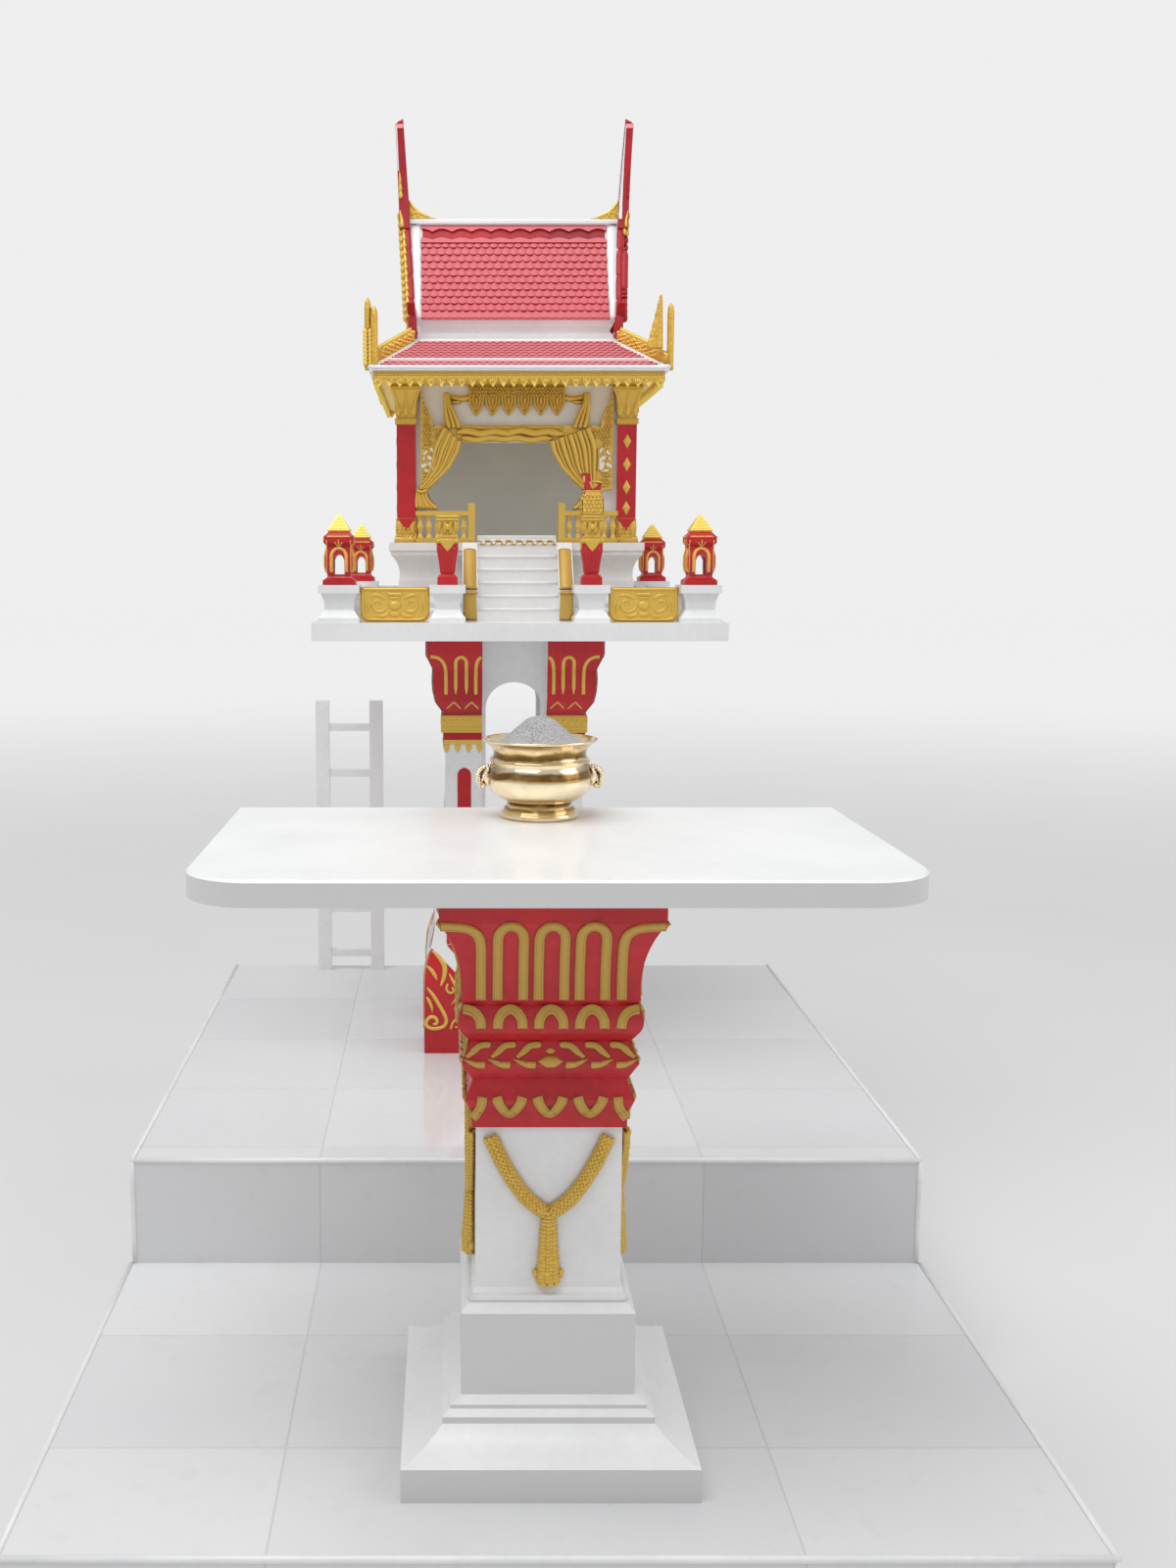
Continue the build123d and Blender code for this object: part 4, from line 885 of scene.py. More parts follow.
# The scrolls of the foot: width, swell, and points in tenths of a millimetre in from the corner and up
# from the top of the red band.
FOOT_SCROLLS = (
    (0.01, lance, [(60, 1560), (230, 1440), (370, 1260), (385, 1080), (330, 900), (300, 850)]),
    (0.008, lance, [(50, 1230), (140, 1150), (215, 1030), (240, 960)]),
    (0.0078, blunt, [(50, 820), (150, 700), (260, 520), (390, 280), (415, 150), (360, 60), (230, 20),
                     (110, 30), (40, 90), (50, 180), (110, 240), (190, 240), (240, 180), (220, 110),
                     (160, 110)]),
    (0.007, lance, [(40, 640), (90, 560), (140, 440), (150, 330)]),
    (0.0072, lance, [(470, 1090), (540, 960), (620, 800), (640, 680), (570, 560), (500, 480)]),
    (0.0056, blunt, [(450, 900), (420, 820), (450, 740), (520, 720), (560, 780), (520, 830)]),
    (0.0056, blunt, [(740, 680), (760, 580), (730, 430), (640, 350), (590, 400), (620, 480), (680, 470)]),
    (0.0052, blunt, [(500, 0), (540, 130), (600, 190), (670, 150), (720, 20)]),
    (0.006, blunt, [(600, 30), (610, 70)]),
    (0.006, lance, [(790, 560), (850, 420), (870, 260), (820, 120), (760, 60)]),
    (0.0056, lance, [(900, 620), (960, 420), (990, 260), (1000, 60)]),
)
leg_of = {(0, False): "leg_front_left", (0, True): "leg_front_right", (90, False): "leg_front_right",
          (90, True): "leg_back_right", (180, False): "leg_back_right", (180, True): "leg_back_left",
          (270, False): "leg_back_left", (270, True): "leg_front_left"}
stand_red = bmesh.new()
stand_gold = bmesh.new()
for (turn, mirror), leg in leg_of.items():
    sign = 1 if mirror else -1
    probe = Face(leg, STAND_MIDDLE, turn, 0.5)
    probe.right = probe.right * sign
    skin(stand_red, probe, to_corner(probe, 0.9835, 1.1325, 0.003), 0.0014, 4)
    skin(stand_red, probe, to_corner(probe, 0.937, 0.9508), columns=4)
    skin(stand_red, probe, to_corner(probe, FOOT_BAND, FOOT_TOP), columns=4)
    skin(stand_red, probe, [(z, *lancet(z)) for z in heights(0.55, 0.8839, 0.004)])
    skin(stand_red, probe, [(0.4965, 0.0804, 0.0806), (0.5486, 0.0804, 0.1265)])
    foot_rows = []
    for z in heights(FOOT_TOP, 0.553, 0.004):
        inner = LEG_INNER if z < 0.45 else LEG_INNER + (z - 0.45) * (0.106 / 0.103)
        foot_rows.append((z, inner, max(inner + 0.0004, outer_edge(probe, z))))
    skin(stand_red, probe, foot_rows, columns=6)

    petal = hairpin(0.0099, 1.024, 1.094)
    strip(stand_gold, probe.lay(fine(slide(petal, 0.0996))), 0.0082, 0.0032, blunt)
    for half_petal in ([(0.1276, 1.024), (0.1276, 1.052), (0.129, 1.074), (0.135, 1.087), (0.145, 1.0935),
                        (0.156, 1.095)],
                       [(0.0722, 1.024), (0.0722, 1.06), (0.0712, 1.078), (0.0676, 1.089), (0.062, 1.0945)]):
        curve(stand_gold, probe, half_petal, 6, 0.0082, 0.0032)
    for middle in (0.08, 0.113):
        gable = [(middle - 0.014, 0.996), (middle - 0.011, 0.999), (middle, 1.01), (middle + 0.011, 0.999),
                 (middle + 0.014, 0.996)]
        strip(stand_gold, probe.lay(fine(gable)), 0.0046, 0.0026, blunt)
    skin(stand_gold, probe, to_corner(probe, 0.9285, 0.937, 0.004), 0.001, 4)
    for index in range(4):
        middle = 0.0645 + index * 0.0205
        curve(stand_gold, probe, [(middle, 0.929), (middle, 0.9225), (middle, 0.912)], 5, 0.0125, 0.0026,
              lance)
    for width, swell, points in FOOT_SCROLLS:
        line = [(FOOT_CORNER - a / 10000, FOOT_TOP + b / 10000) for a, b in flow(points, 6)]
        strip(stand_gold, probe.lay(line), width, 0.0034, swell)
    band_face = Face("leg_bands", STAND_MIDDLE, turn, 0.5)
    band_face.right = band_face.right * sign
    for index in range(6):
        u = 0.0672 + index * 0.0125
        bar(stand_gold, band_face, (u - 0.004, 0.9665), (u + 0.004, 0.9755), 0.0042, 0.0016, blunt)
    for z in (0.9545, 0.9615, 0.98):
        bar(stand_gold, band_face, (0.061, z), (0.133, z), 0.0024, 0.0012, gap=0.004)
piece("stand_red_paint", stand_red, red_enamel)
piece("stand_gold", stand_gold, gold_paint)

# %% [markdown]
# Both roofs are covered with small pillow-shaped tiles that overlap like those of a temple. One tile is
# drawn as a plate that bulges in the middle and stands up at its rounded lower edge. That edge takes a
# darker second paint, red on the upper roof and a deeper pink on the lower roof, as painted shade under the
# overlap, so that every row gets a thin dark scalloped line. The rows are laid from the ridge down, each one
# moved over by half a tile, and the tiles at the ends of a row are cut to fit.

# %% One roof tile
def scale_tile(made, place, right, down, out, width, length, lift, room):
    """A tile cut to a room (left, right) measured from its middle; its rim gets the second, darker paint as
    painted shade.
    """
    if room[0] > width * 0.45 or room[1] < -width * 0.45:
        return
    grid = []
    for row in range(4):
        v = row / 3
        line = []
        for column in range(7):
            u = column / 3 - 1
            a = min(max(u * width / 2, room[0]), room[1])
            b = v * length * (1 - 0.24 * u * u)
            rise = lift * (0.2 + 0.8 * v) * (1 - 0.62 * u * u)
            line.append(place + right * a + down * b + out * rise)
        grid.append(line)
    verts = [[made.verts.new(point) for point in line] for line in grid]
    for low, high in zip(verts, verts[1:]):
        for column in range(6):
            face = made.faces.new((low[column], high[column], high[column + 1], low[column + 1]))
            face.smooth = True
    edge = grid[-1]
    edge_verts = [made.verts.new(point) for point in edge]
    foot_verts = [made.verts.new(point - out * lift * 1.1) for point in edge]
    for index in range(len(edge) - 1):
        rim = (edge_verts[index], foot_verts[index], foot_verts[index + 1], edge_verts[index + 1])
        # Painted shade: the rim faces take the darker second paint, for the shadow under the tile's lower
        # edge.
        made.faces.new(rim).material_index = 1


random.seed(11)
ROOF_MIDDLE = (0.0, 0.5)
ROOF_HALF = 0.1722
FRONT_AND_BACK = (0, 180)
TILE_ROWS = 11
TILES_ACROSS = 23
ROW_RISE = 0.01442
upper_tiles = bmesh.new()
upper_undercoat = bmesh.new()
ridge_red = bmesh.new()
for turn in FRONT_AND_BACK:
    slope = Face("upper_roof", ROOF_MIDDLE, turn)
    coat_rows = [1.7063, 1.708, 1.7095, 1.7105, 1.7112, 1.7125] + heights(1.715, 1.868, 0.008)
    skin(upper_undercoat, slope, [(z, -ROOF_HALF, ROOF_HALF) for z in coat_rows], 0.0011, 4)
    skin(ridge_red, slope, [(z, -ROOF_HALF, ROOF_HALF) for z in heights(1.868, 1.899, 0.005)], 0.0008, 4)
    bar(upper_undercoat, slope, (-ROOF_HALF, 1.7078), (ROOF_HALF, 1.7078), 0.003, 0.003, even, 4, gap=0.01)
    for row in range(TILE_ROWS):
        z = 1.7068 + ROW_RISE * row
        low, _ = slope.find(0, z)
        high, _ = slope.find(0, z + ROW_RISE * 1.22)
        down = (low - high).normalized()
        out = slope.right.cross(down).normalized()
        if out.dot(slope.out) < 0:
            out = -out
        half = 0.1715 + 0.0027 * row / (TILE_ROWS - 1)
        pitch = 2 * half / TILES_ACROSS
        for column in range(TILES_ACROSS + 1):
            u = (column - TILES_ACROSS / 2 + (0.5 if row % 2 else 0.0)) * pitch
            wobble = random.uniform(-0.00025, 0.00025)
            scale_tile(upper_tiles, high + slope.right * u, slope.right, down, out, pitch * 0.97,
                       (low - high).length + wobble * 2, 0.0044 + wobble, (-half - u, half - u))
piece("upper_tiles", upper_tiles, (pink, red_enamel), smooth=None)
piece("upper_undercoat", upper_undercoat, pink)
piece("ridge_red", ridge_red, dark_red)

# %% [markdown]
# Under the ridge two plain bands end in rows of arches, with red between them. The arches don't divide the
# roof evenly: they start with half an arch at the left end. The slope is framed by white mortar borders.

# %% Ridge bands and white borders
ARCH_START = 0.1407
ARCH_PITCH = 0.0368
BAND_HALF = 0.1743
BAND_LIFT = 0.0046
BAND_COLUMNS = 150


def arch_wave(u):
    """0 at the points between two arches and 1 at the top of an arch."""
    return abs(math.sin(math.pi * (u - ARCH_START) / ARCH_PITCH))


def wavy_band(made, face, top, low):
    """A raised band between two edges that are functions of u, with a red rim along the lower edge."""
    upper, lower, rim = [], [], []
    for column in range(BAND_COLUMNS + 1):
        u = -BAND_HALF + 2 * BAND_HALF * column / BAND_COLUMNS
        high_point, high_normal = face.find(u, top(u))
        low_point, low_normal = face.find(u, low(u))
        upper.append(made.verts.new(high_point + high_normal * BAND_LIFT * 0.8))
        lower.append(made.verts.new(low_point + low_normal * BAND_LIFT))
        rim.append((low_point + low_normal * BAND_LIFT, low_point + low_normal * 0.001))
    for column in range(BAND_COLUMNS):
        after = column + 1
        made.faces.new((lower[column], lower[after], upper[after], upper[column])).smooth = True
        corners = [rim[column][1], rim[after][1], rim[after][0], rim[column][0]]
        made.faces.new([made.verts.new(corner) for corner in corners]).material_index = 1


ridge_bands = bmesh.new()
borders = bmesh.new()
for turn in FRONT_AND_BACK:
    slope = Face("upper_roof", ROOF_MIDDLE, turn)
    flip = 1 if turn == 0 else -1
    wavy_band(ridge_bands, slope, lambda u: 1.8992, lambda u: 1.8826 + 0.0064 * arch_wave(u * flip))
    wavy_band(ridge_bands, slope, lambda u: 1.8672 + 0.004 * arch_wave(u * flip), lambda u: 1.861)
    for mirror in BOTH_HANDS:
        edge = slope.lay(fine(slide([(0.1782, 1.7075), (0.1788, 1.72), (0.185, 1.896)], mirror=mirror),
                              0.01))
        strip(borders, edge, 0.014, 0.0052, lambda t: 0.85 + 0.75 * t, 6)
    bar(borders, slope, (-0.184, 1.8985), (0.184, 1.8985), 0.006, 0.0075, even, 6, gap=0.02)
piece("ridge_bands", ridge_bands, (pink, red_enamel), smooth=None)

# %% [markdown]
# The lower roof spreads out on all four sides in two tiers. A white fillet marks the step between them,
# another one the eave, and white mortar covers each hip. Its tiles are the same, only smaller and flatter.

# %% Lower roof
SKIRT_PITCH = 0.0136
SKIRT_ROW = 0.0125


def long_half(t):
    """How far the lower roof reaches to the left and right, from the eave (0) to the top (1)."""
    return 0.26 - 0.076 * t


def deep_half(t):
    """How far it reaches to the front and back."""
    return 0.3 - 0.176 * t


def skirt_point(turn, u, t):
    """A point of the lower roof: u across, t from the eave (0) to the top (1)."""
    side = Face("skirt_roof", ROOF_MIDDLE, turn)
    run = deep_half(t) if turn in FRONT_AND_BACK else long_half(t)
    return side.middle + side.out * run + side.right * u + Vector((0, 0, 1.6 + 0.069 * t))


skirt_tiles = bmesh.new()
skirt_undercoat = bmesh.new()
for turn in ALL_SIDES:
    start = skirt_point(turn, 0, 0)
    end = skirt_point(turn, 0, 1)
    down = (start - end).normalized()
    right = Face("skirt_roof", ROOF_MIDDLE, turn).right
    out = right.cross(-down)
    out = (out if out.z > 0 else -out).normalized()
    length = (end - start).length
    half_at = long_half if turn in FRONT_AND_BACK else deep_half
    ends = ((-1, 0), (1, 0), (1, 1), (-1, 1))
    corners = [skirt_point(turn, s * half_at(t), t) + out * 0.0006 for s, t in ends]
    skirt_undercoat.faces.new([skirt_undercoat.verts.new(corner) for corner in corners])
    for tier_low, tier_high in ((0.024, 0.245), (0.285, 0.985)):
        rows = max(2, round((tier_high - tier_low) * length / SKIRT_ROW))
        step = (tier_high - tier_low) * length / rows
        for row in range(rows):
            t = tier_high - (tier_high - tier_low) * row / rows
            half = half_at(t - 0.5 * step / length) - 0.008
            count = 2 * int(half / SKIRT_PITCH) + 3
            for column in range(count):
                u = (column - (count - 1) / 2 + (0.5 if row % 2 else 0.0)) * SKIRT_PITCH
                scale_tile(skirt_tiles, skirt_point(turn, u, t), right, down, out, SKIRT_PITCH * 0.97,
                           step * 1.12, 0.003, (-half - u, half - u))
    for t, width in ((0.01, 0.007), (0.268, 0.0056), (0.99, 0.008)):
        reach = half_at(t) - 0.002
        laid = [(skirt_point(turn, -reach + 2 * reach * i / 40, t), out) for i in range(41)]
        strip(borders, laid, width, 0.0046, even, 6)
    for sign in (-1, 1):
        laid = [(skirt_point(turn, sign * (half_at(t) - 0.0045), t), out) for t in (0, 0.25, 0.5, 0.75, 1)]
        strip(borders, laid, 0.015, 0.0052, even, 6)
piece("skirt_tiles", skirt_tiles, (pale_pink, pink), smooth=None)
piece("skirt_undercoat", skirt_undercoat, pink)
piece("roof_borders", borders, white_enamel)

# %% [markdown]
# The bargeboards are red, built up from overlapping lengths, with a white inner edge that runs on up the
# spire. Their outer side carries flame leaves: in the picture these are gilt all the way on the left and
# only near the peak on the right, so the rest is left red. The right board also swells outwards below a
# shoulder.

# %% Places on a gable
GABLE_LEAN = math.radians(3.7)


def gable_place(side, depth, rise, outward):
    """A point on a leaning gable: depth behind the ridge line, rise up the slope, outward from it."""
    up = Vector((side * math.sin(GABLE_LEAN), 0, math.cos(GABLE_LEAN)))
    away = Vector((side * math.cos(GABLE_LEAN), 0, -math.sin(GABLE_LEAN)))
    return Vector((side * 0.183, 0.5 + depth, 1.706)) + up * rise + away * outward


def board_line(sign, t):
    """The middle of a bargeboard's outer edge, from its foot (0) to the peak (1), as (depth, rise)."""
    chord = Vector((sign * 0.133 * (1 - t), 0.218 * t))
    sag = 4 * t * (1 - t) * 0.009
    return chord.x - sign * sag * 0.85, chord.y - sag * 0.52


def board_rim(side, sign, t, outward):
    """A place on the front edge of a bargeboard, and the way that edge faces."""
    depth, rise = board_line(sign, t)
    ahead, behind = board_line(sign, t + 0.01), board_line(sign, t - 0.01)
    run = Vector((ahead[0] - behind[0], ahead[1] - behind[1])).normalized()
    away = Vector((-run.y, run.x)) if run.x > 0 else Vector((run.y, -run.x))
    faces_to = gable_place(side, away.x, away.y, 0) - gable_place(side, 0, 0, 0)
    return gable_place(side, depth, rise, outward), faces_to


def rim_strip(made, side, sign, low, high, outward, width, height, swell=even):
    """A strip along a length of the board's front edge."""
    laid = [board_rim(side, sign, low + (high - low) * i / 10, outward) for i in range(11)]
    strip(made, laid, width, height, swell, 7)


print("gable leans", GABLE_LEAN)

# %% Bargeboards and their leaves
LEAVES_PER_BOARD = 15
BOARD_LENGTHS = ((0.01, 0.2), (0.19, 0.44), (0.42, 0.68), (0.66, 0.92))
RIGHT_BOARD_PARTS = ((0.02, 0.2, 0.012), (0.215, 0.235, 0.013), (0.25, 0.27, 0.013), (0.285, 0.66, 0.014))
crockets_gold = bmesh.new()
crockets_red = bmesh.new()
white_edges = bmesh.new()
for side in (-1, 1):
    sideways = (gable_place(side, 0, 0, 1) - gable_place(side, 0, 0, 0)).normalized()
    for sign in (-1, 1):
        for index in range(LEAVES_PER_BOARD):
            t = (index + 0.3) / LEAVES_PER_BOARD
            gilt = side < 0 or t > 0.8
            target = crockets_gold if gilt else crockets_red
            leaf = []
            for step in range(7):
                depth, rise = board_line(sign, min(t + 0.085 * step / 6, 1.0))
                curl = 0.004 + 0.0095 * math.sin(math.pi * min(1.0, step / 5)) - 0.002 * step / 6
                leaf.append((gable_place(side, depth - sign * 0.006, rise - 0.004, 0.0135 + curl * 0.35),
                             sideways))
            strip(target, leaf, 0.016, 0.0072 if gilt else 0.006, flame, 6)
            if side < 0:
                rim_strip(crockets_gold, side, sign, t, t + 0.095, 0.0128, 0.0104, 0.0056, flame)
        for number, (low, high) in enumerate(BOARD_LENGTHS):
            rim_strip(crockets_red, side, sign, low, high, 0.0058, 0.0125, 0.0048 - 0.0004 * number,
                      lambda t: min(1.0, 0.55 + 3 * (1 - t)) * min(1.0, 0.7 + 4 * t))
        if side > 0:
            for low, high, width in RIGHT_BOARD_PARTS:
                rim_strip(crockets_red, side, sign, low, high, 0.015, width, 0.006, blunt)
            rim_strip(crockets_gold, side, sign, 0.8, 0.99, 0.0135, 0.009, 0.006, lance)
        foot = flow([(-0.133, 0.004), (-0.135, -0.01), (-0.1345, -0.024), (-0.129, -0.035)], 4)
        laid = [(gable_place(side, -sign * a, b, 0.0062), Vector((0, sign, 0))) for a, b in foot]
        strip(crockets_red, laid, 0.016, 0.0105, lambda t: 1.0 - 0.35 * t ** 3, 7, 0.004)
        inner = []
        for step in range(13):
            depth, rise = board_line(sign, step / 12)
            inner.append((gable_place(side, depth - sign * 0.004, rise - 0.002, 0.0005),
                          gable_place(side, depth, rise, -1) - gable_place(side, depth, rise, 0)))
        strip(white_edges, inner, 0.01, 0.0016, even, 4)

# %% Spires
SPIRE_X = 0.2035
SLIM_REACH = 0.04
spire_tip_highlights = bmesh.new()


def reach_of(face, z):
    """The left and right edge of a slim shape at a height, found with rays."""
    hits = [u for u in (-SLIM_REACH + 2 * SLIM_REACH * i / 200 for i in range(201)) if face.find(u, z)]
    return (hits[0] + 0.0003, hits[-1] - 0.0003) if hits else None


for side in (-1, 1):
    inner_side = Face("roof_spires", (side * SPIRE_X, 0.5), side * 270, 0.1)
    rows = [(z, *reach_of(inner_side, z)) for z in heights(1.912, 2.074, 0.01)]
    skin(white_edges, inner_side, rows, 0.0008, 2)
    for turn in FRONT_AND_BACK:
        spire = Face("roof_spires", (side * SPIRE_X, 0.5), turn, 0.1)
        flip = side if turn == 0 else -side

        def across(z, first, second):
            """A row between two parts of the width, from the inner edge (0) to the outer edge (1)."""
            left, right = reach_of(spire, z)
            inner, outer = (left, right) if flip > 0 else (right, left)
            ends = [inner + (outer - inner) * f for f in (first, second)]
            return (z, min(ends), max(ends))

        # Painted highlight: pale strips on the side of each spire that faces the light, near the outer edge
        # of the left spire and along the inner edge of the right spire, widening downwards and carried on
        # down the right bargeboard. The back faces repeat them.
        if side > 0:
            rows = [across(z, 0.0, 0.08 + 0.26 * (2.08 - z) / 0.165) for z in heights(1.906, 2.076, 0.01)]
        else:
            rows = [across(z, 0.84, 1.0) for z in heights(1.995, 2.072, 0.01)]
        skin(white_edges, spire, rows, 0.0012, 2)
        if side > 0:
            board = Face("bargeboards", (side * SPIRE_X, 0.5), turn, 0.1)
            rows = []
            for z in heights(1.83, 1.906, 0.006):
                left, right = reach_of(board, z) or (0.0, 0.0)
                inner = left if flip > 0 else right
                far = inner + flip * (0.002 + 0.006 * (z - 1.83) / 0.076)
                if right > left:
                    rows.append((z, min(inner, far), max(inner, far)))
            skin(white_edges, board, rows, 0.0012, 2)
        # Painted highlight: the slanted top of each spire is painted pale pink where it catches the light.
        skin(spire_tip_highlights, spire, [across(z, 0.0, 1.0) for z in heights(2.069, 2.076, 0.004)], 0.001, 3)
        leaves, size, part = (crockets_gold, 1.0, 0.78) if side < 0 else (crockets_red, 0.6, 0.9)
        for foot, tip, width in ((1.944, 1.966, 0.01), (1.956, 1.98, 0.009), (1.97, 1.995, 0.007)):
            line = [(across(z, part, part)[1], z) for z in heights(foot, tip, 0.004)]
            strip(leaves, spire.lay(line), width * size, 0.005, flame, 6)
        hook = [(across(z, f, f)[1], z) for z,
                f in ((1.89, 0.8), (1.902, 0.78), (1.912, 0.84), (1.923, 0.93))]
        curve(crockets_gold, spire, hook, 4, 0.01 if side < 0 else 0.007, 0.006, flame, 6)
piece("bargeboard_gilt_leaves", crockets_gold, gold_paint)
piece("bargeboard_red_leaves", crockets_red, dark_red)
piece("gable_white_edges", white_edges, white_enamel)
piece("spire_tip_highlights", spire_tip_highlights, pale_pink)

# %% Ridge leaves
ridge_gold = bmesh.new()
for side in (-1, 1):
    for turn in FRONT_AND_BACK:
        leaf_face = Face("ridge_leaves", (0, 0.5), turn, 0.1)
        mirror = (side < 0) == (turn == 0)
        for line, width in (([(0.196, 1.94), (0.188, 1.929), (0.175, 1.9195), (0.16, 1.913)], 0.0052),
                            ([(0.193, 1.916), (0.186, 1.922), (0.179, 1.918), (0.183, 1.913)], 0.004)):
            curve(ridge_gold, leaf_face, line, 5, width, 0.003, blunt, 5, mirror)
piece("ridge_leaf_relief", ridge_gold, bright_gold)

# %% [markdown]
# Daylight falls into the house and bounces off bare cement, so the doorway reads as a soft grey. A thin
# wash is laid inside the back wall, the side walls and under the roof, with a faint glow in its colour.

# %% The wash inside the house
wash = bmesh.new()
near, far, side_x, low, high = 0.32, 0.6805, 0.1925, 1.3024, 1.594
room = [wash.verts.new((x, y, z)) for x in (-side_x, side_x) for y in (near, far) for z in (low, high)]
for corners in ((2, 6, 7, 3), (0, 2, 3, 1), (4, 5, 7, 6), (1, 3, 7, 5), (0, 4, 6, 2)):
    wash.faces.new([room[corner] for corner in corners])
piece("room_wash", wash, inside_wash, smooth=False)

# %% [markdown]
# The front of the house is one carved and gilded screen. A curtain is drawn to each side and tied back, a
# swag runs across the head of the doorway, and a border with six pointed leaves hangs above. The flat
# shapes are there already. The folds are strips that fan out from the head and run together at the ties:
# each one lies a part of the way between an inner line and an outer line. The doorway stands 20 mm to the
# left of the middle, so the left drape is the right one turned over and moved.

# %% Folds of the carved curtain
HOUSE_MIDDLE = (0.0, 0.5)
DOORWAY_SHIFT = -0.02
screen = Face(("curtain", "lambrequin"), HOUSE_MIDDLE, 0)


def between(first, second, t):
    """A line that lies a part of the way from one drawn line to another."""
    return [(a[0] + (b[0] - a[0]) * t, a[1] + (b[1] - a[1]) * t) for a, b in zip(first, second)]


def hang(line, mirror):
    """A line of the right drape, or the same on the left drape."""
    return slide(line, 2 * DOORWAY_SHIFT if mirror else 0.0, mirror=mirror)


folds = bmesh.new()
inner_fold = [(0.064, 1.483), (0.07, 1.46), (0.087, 1.433), (0.1245, 1.3965)]
outer_folds = {False: [(0.127, 1.506), (0.139, 1.472), (0.14, 1.43), (0.1395, 1.3965)],
               True: [(0.088, 1.506), (0.105, 1.472), (0.116, 1.43), (0.1385, 1.3965)]}
inner_tail = [(0.124, 1.3935), (0.12, 1.379), (0.1045, 1.3625)]
outer_tail = [(0.139, 1.3935), (0.14, 1.38), (0.139, 1.3655)]
for mirror in BOTH_HANDS:
    count = 7 if mirror else 9
    for index in range(count):
        t = index / (count - 1)
        line = flow(between(inner_fold, outer_folds[mirror], t), 10)
        width, height = ((0.0098, 0.0052), (0.0074, 0.003))[index % 2]
        strip(folds, screen.lay(hang(line, mirror)), width, height, lambda t: 1.15 - 0.75 * t, 6)
    for index in range(6):
        line = flow(between(inner_tail, outer_tail, index / 5), 8)
        strip(folds, screen.lay(hang(line, mirror)), 0.0066, (0.004, 0.0026)[index % 2],
              lambda t: 0.6 + 0.6 * t, 5)
    tie_band = flow([(0.1212, 1.3958), (0.13, 1.393), (0.1412, 1.3955)], 6)
    strip(folds, screen.lay(hang(tie_band, mirror)), 0.0062, 0.0056, even, 6)
    for index in range(3):
        gather = [(0.104 + 0.0085 * index, 1.506), (0.1125 + 0.007 * index, 1.53),
                  (0.121 + 0.0036 * index, 1.548), (0.1232 + 0.0028 * index, 1.567)]
        curve(folds, screen, gather, 8, 0.0084, 0.0064, lambda t: 1.15 - 0.5 * t, 6, mirror)
SWAG_FOLDS = ((1.5065, 0.0074, 0.0036, 0.0006, 0.0), (1.4982, 0.015, 0.0082, 0.002, 0.6),
              (1.4872, 0.012, 0.0064, 0.0016, 1.5))
for z, width, height, swing, phase in SWAG_FOLDS:
    reach = (-0.1, 0.063) if z < 1.49 else (-0.108, 0.084)
    wave = [(u, z + swing * math.sin(u * 130 + phase) + swing * 0.5 * math.sin(u * 51 + phase * 2))
            for u in (reach[0] + (reach[1] - reach[0]) * i / 48 for i in range(49))]
    strip(folds, screen.lay(wave), width, height, blunt, 6)
piece("curtain_folds", folds, gold_paint)
# Painted shade: a dark brown strip along the inner edge of each drape and of its tail stands for the shadow
# of the curtain's thickness.
shadow_edges = bmesh.new()
for mirror in BOTH_HANDS:
    for line in ([(0.0588, 1.48), (0.0656, 1.458), (0.0828, 1.4305), (0.1195, 1.3945)],
                 [(0.12, 1.39), (0.116, 1.378), (0.101, 1.3612)]):
        strip(shadow_edges, screen.lay(hang(flow(line, 10), mirror)), 0.0044, 0.003, blunt, 5)
piece("curtain_shadow_edges", shadow_edges, shadow_edge_gold)

# %% [markdown]
# The carving round the curtain is small and dense. Where its pattern can't be read it is drawn as a
# thicket: a staggered field of short curling leaves, each turned by a random angle, with the gold browned
# between them.

# %% Border leaves and corner carving
random.seed(7)
THICKETS = ((0.15, 1.47, 0.1715, 1.506), (0.156, 1.506, 0.1715, 1.566), (0.15, 1.4, 0.1715, 1.43),
            (0.1215, 1.508, 0.13, 1.566), (0.128, 1.486, 0.15, 1.506))
carving = bmesh.new()


def thicket(made, face, box, pitch, width, height, inside=lambda u, z: True):
    """Fills a box on a face with short curling leaves in staggered rows."""
    left, low, right, high = box
    for row in range(max(1, round((high - low) / pitch))):
        for column in range(max(1, round((right - left) / pitch))):
            u = left + (column + 0.5 + 0.5 * (row % 2)) * pitch
            z = low + (row + 0.5) * pitch
            if u > right or not inside(u, z):
                continue
            angle = random.uniform(0, 2 * math.pi)
            bend = random.choice((-1, 1)) * 0.9
            curl = []
            for s in (-1.0, -0.5, 0.0, 0.5, 1.0):
                way = angle + bend * s
                curl.append((u + math.cos(way) * pitch * 0.52 * s, z + math.sin(way) * pitch * 0.52 * s))
            strip(made, face.lay(flow(curl, 2)), width, height, lance, 4)


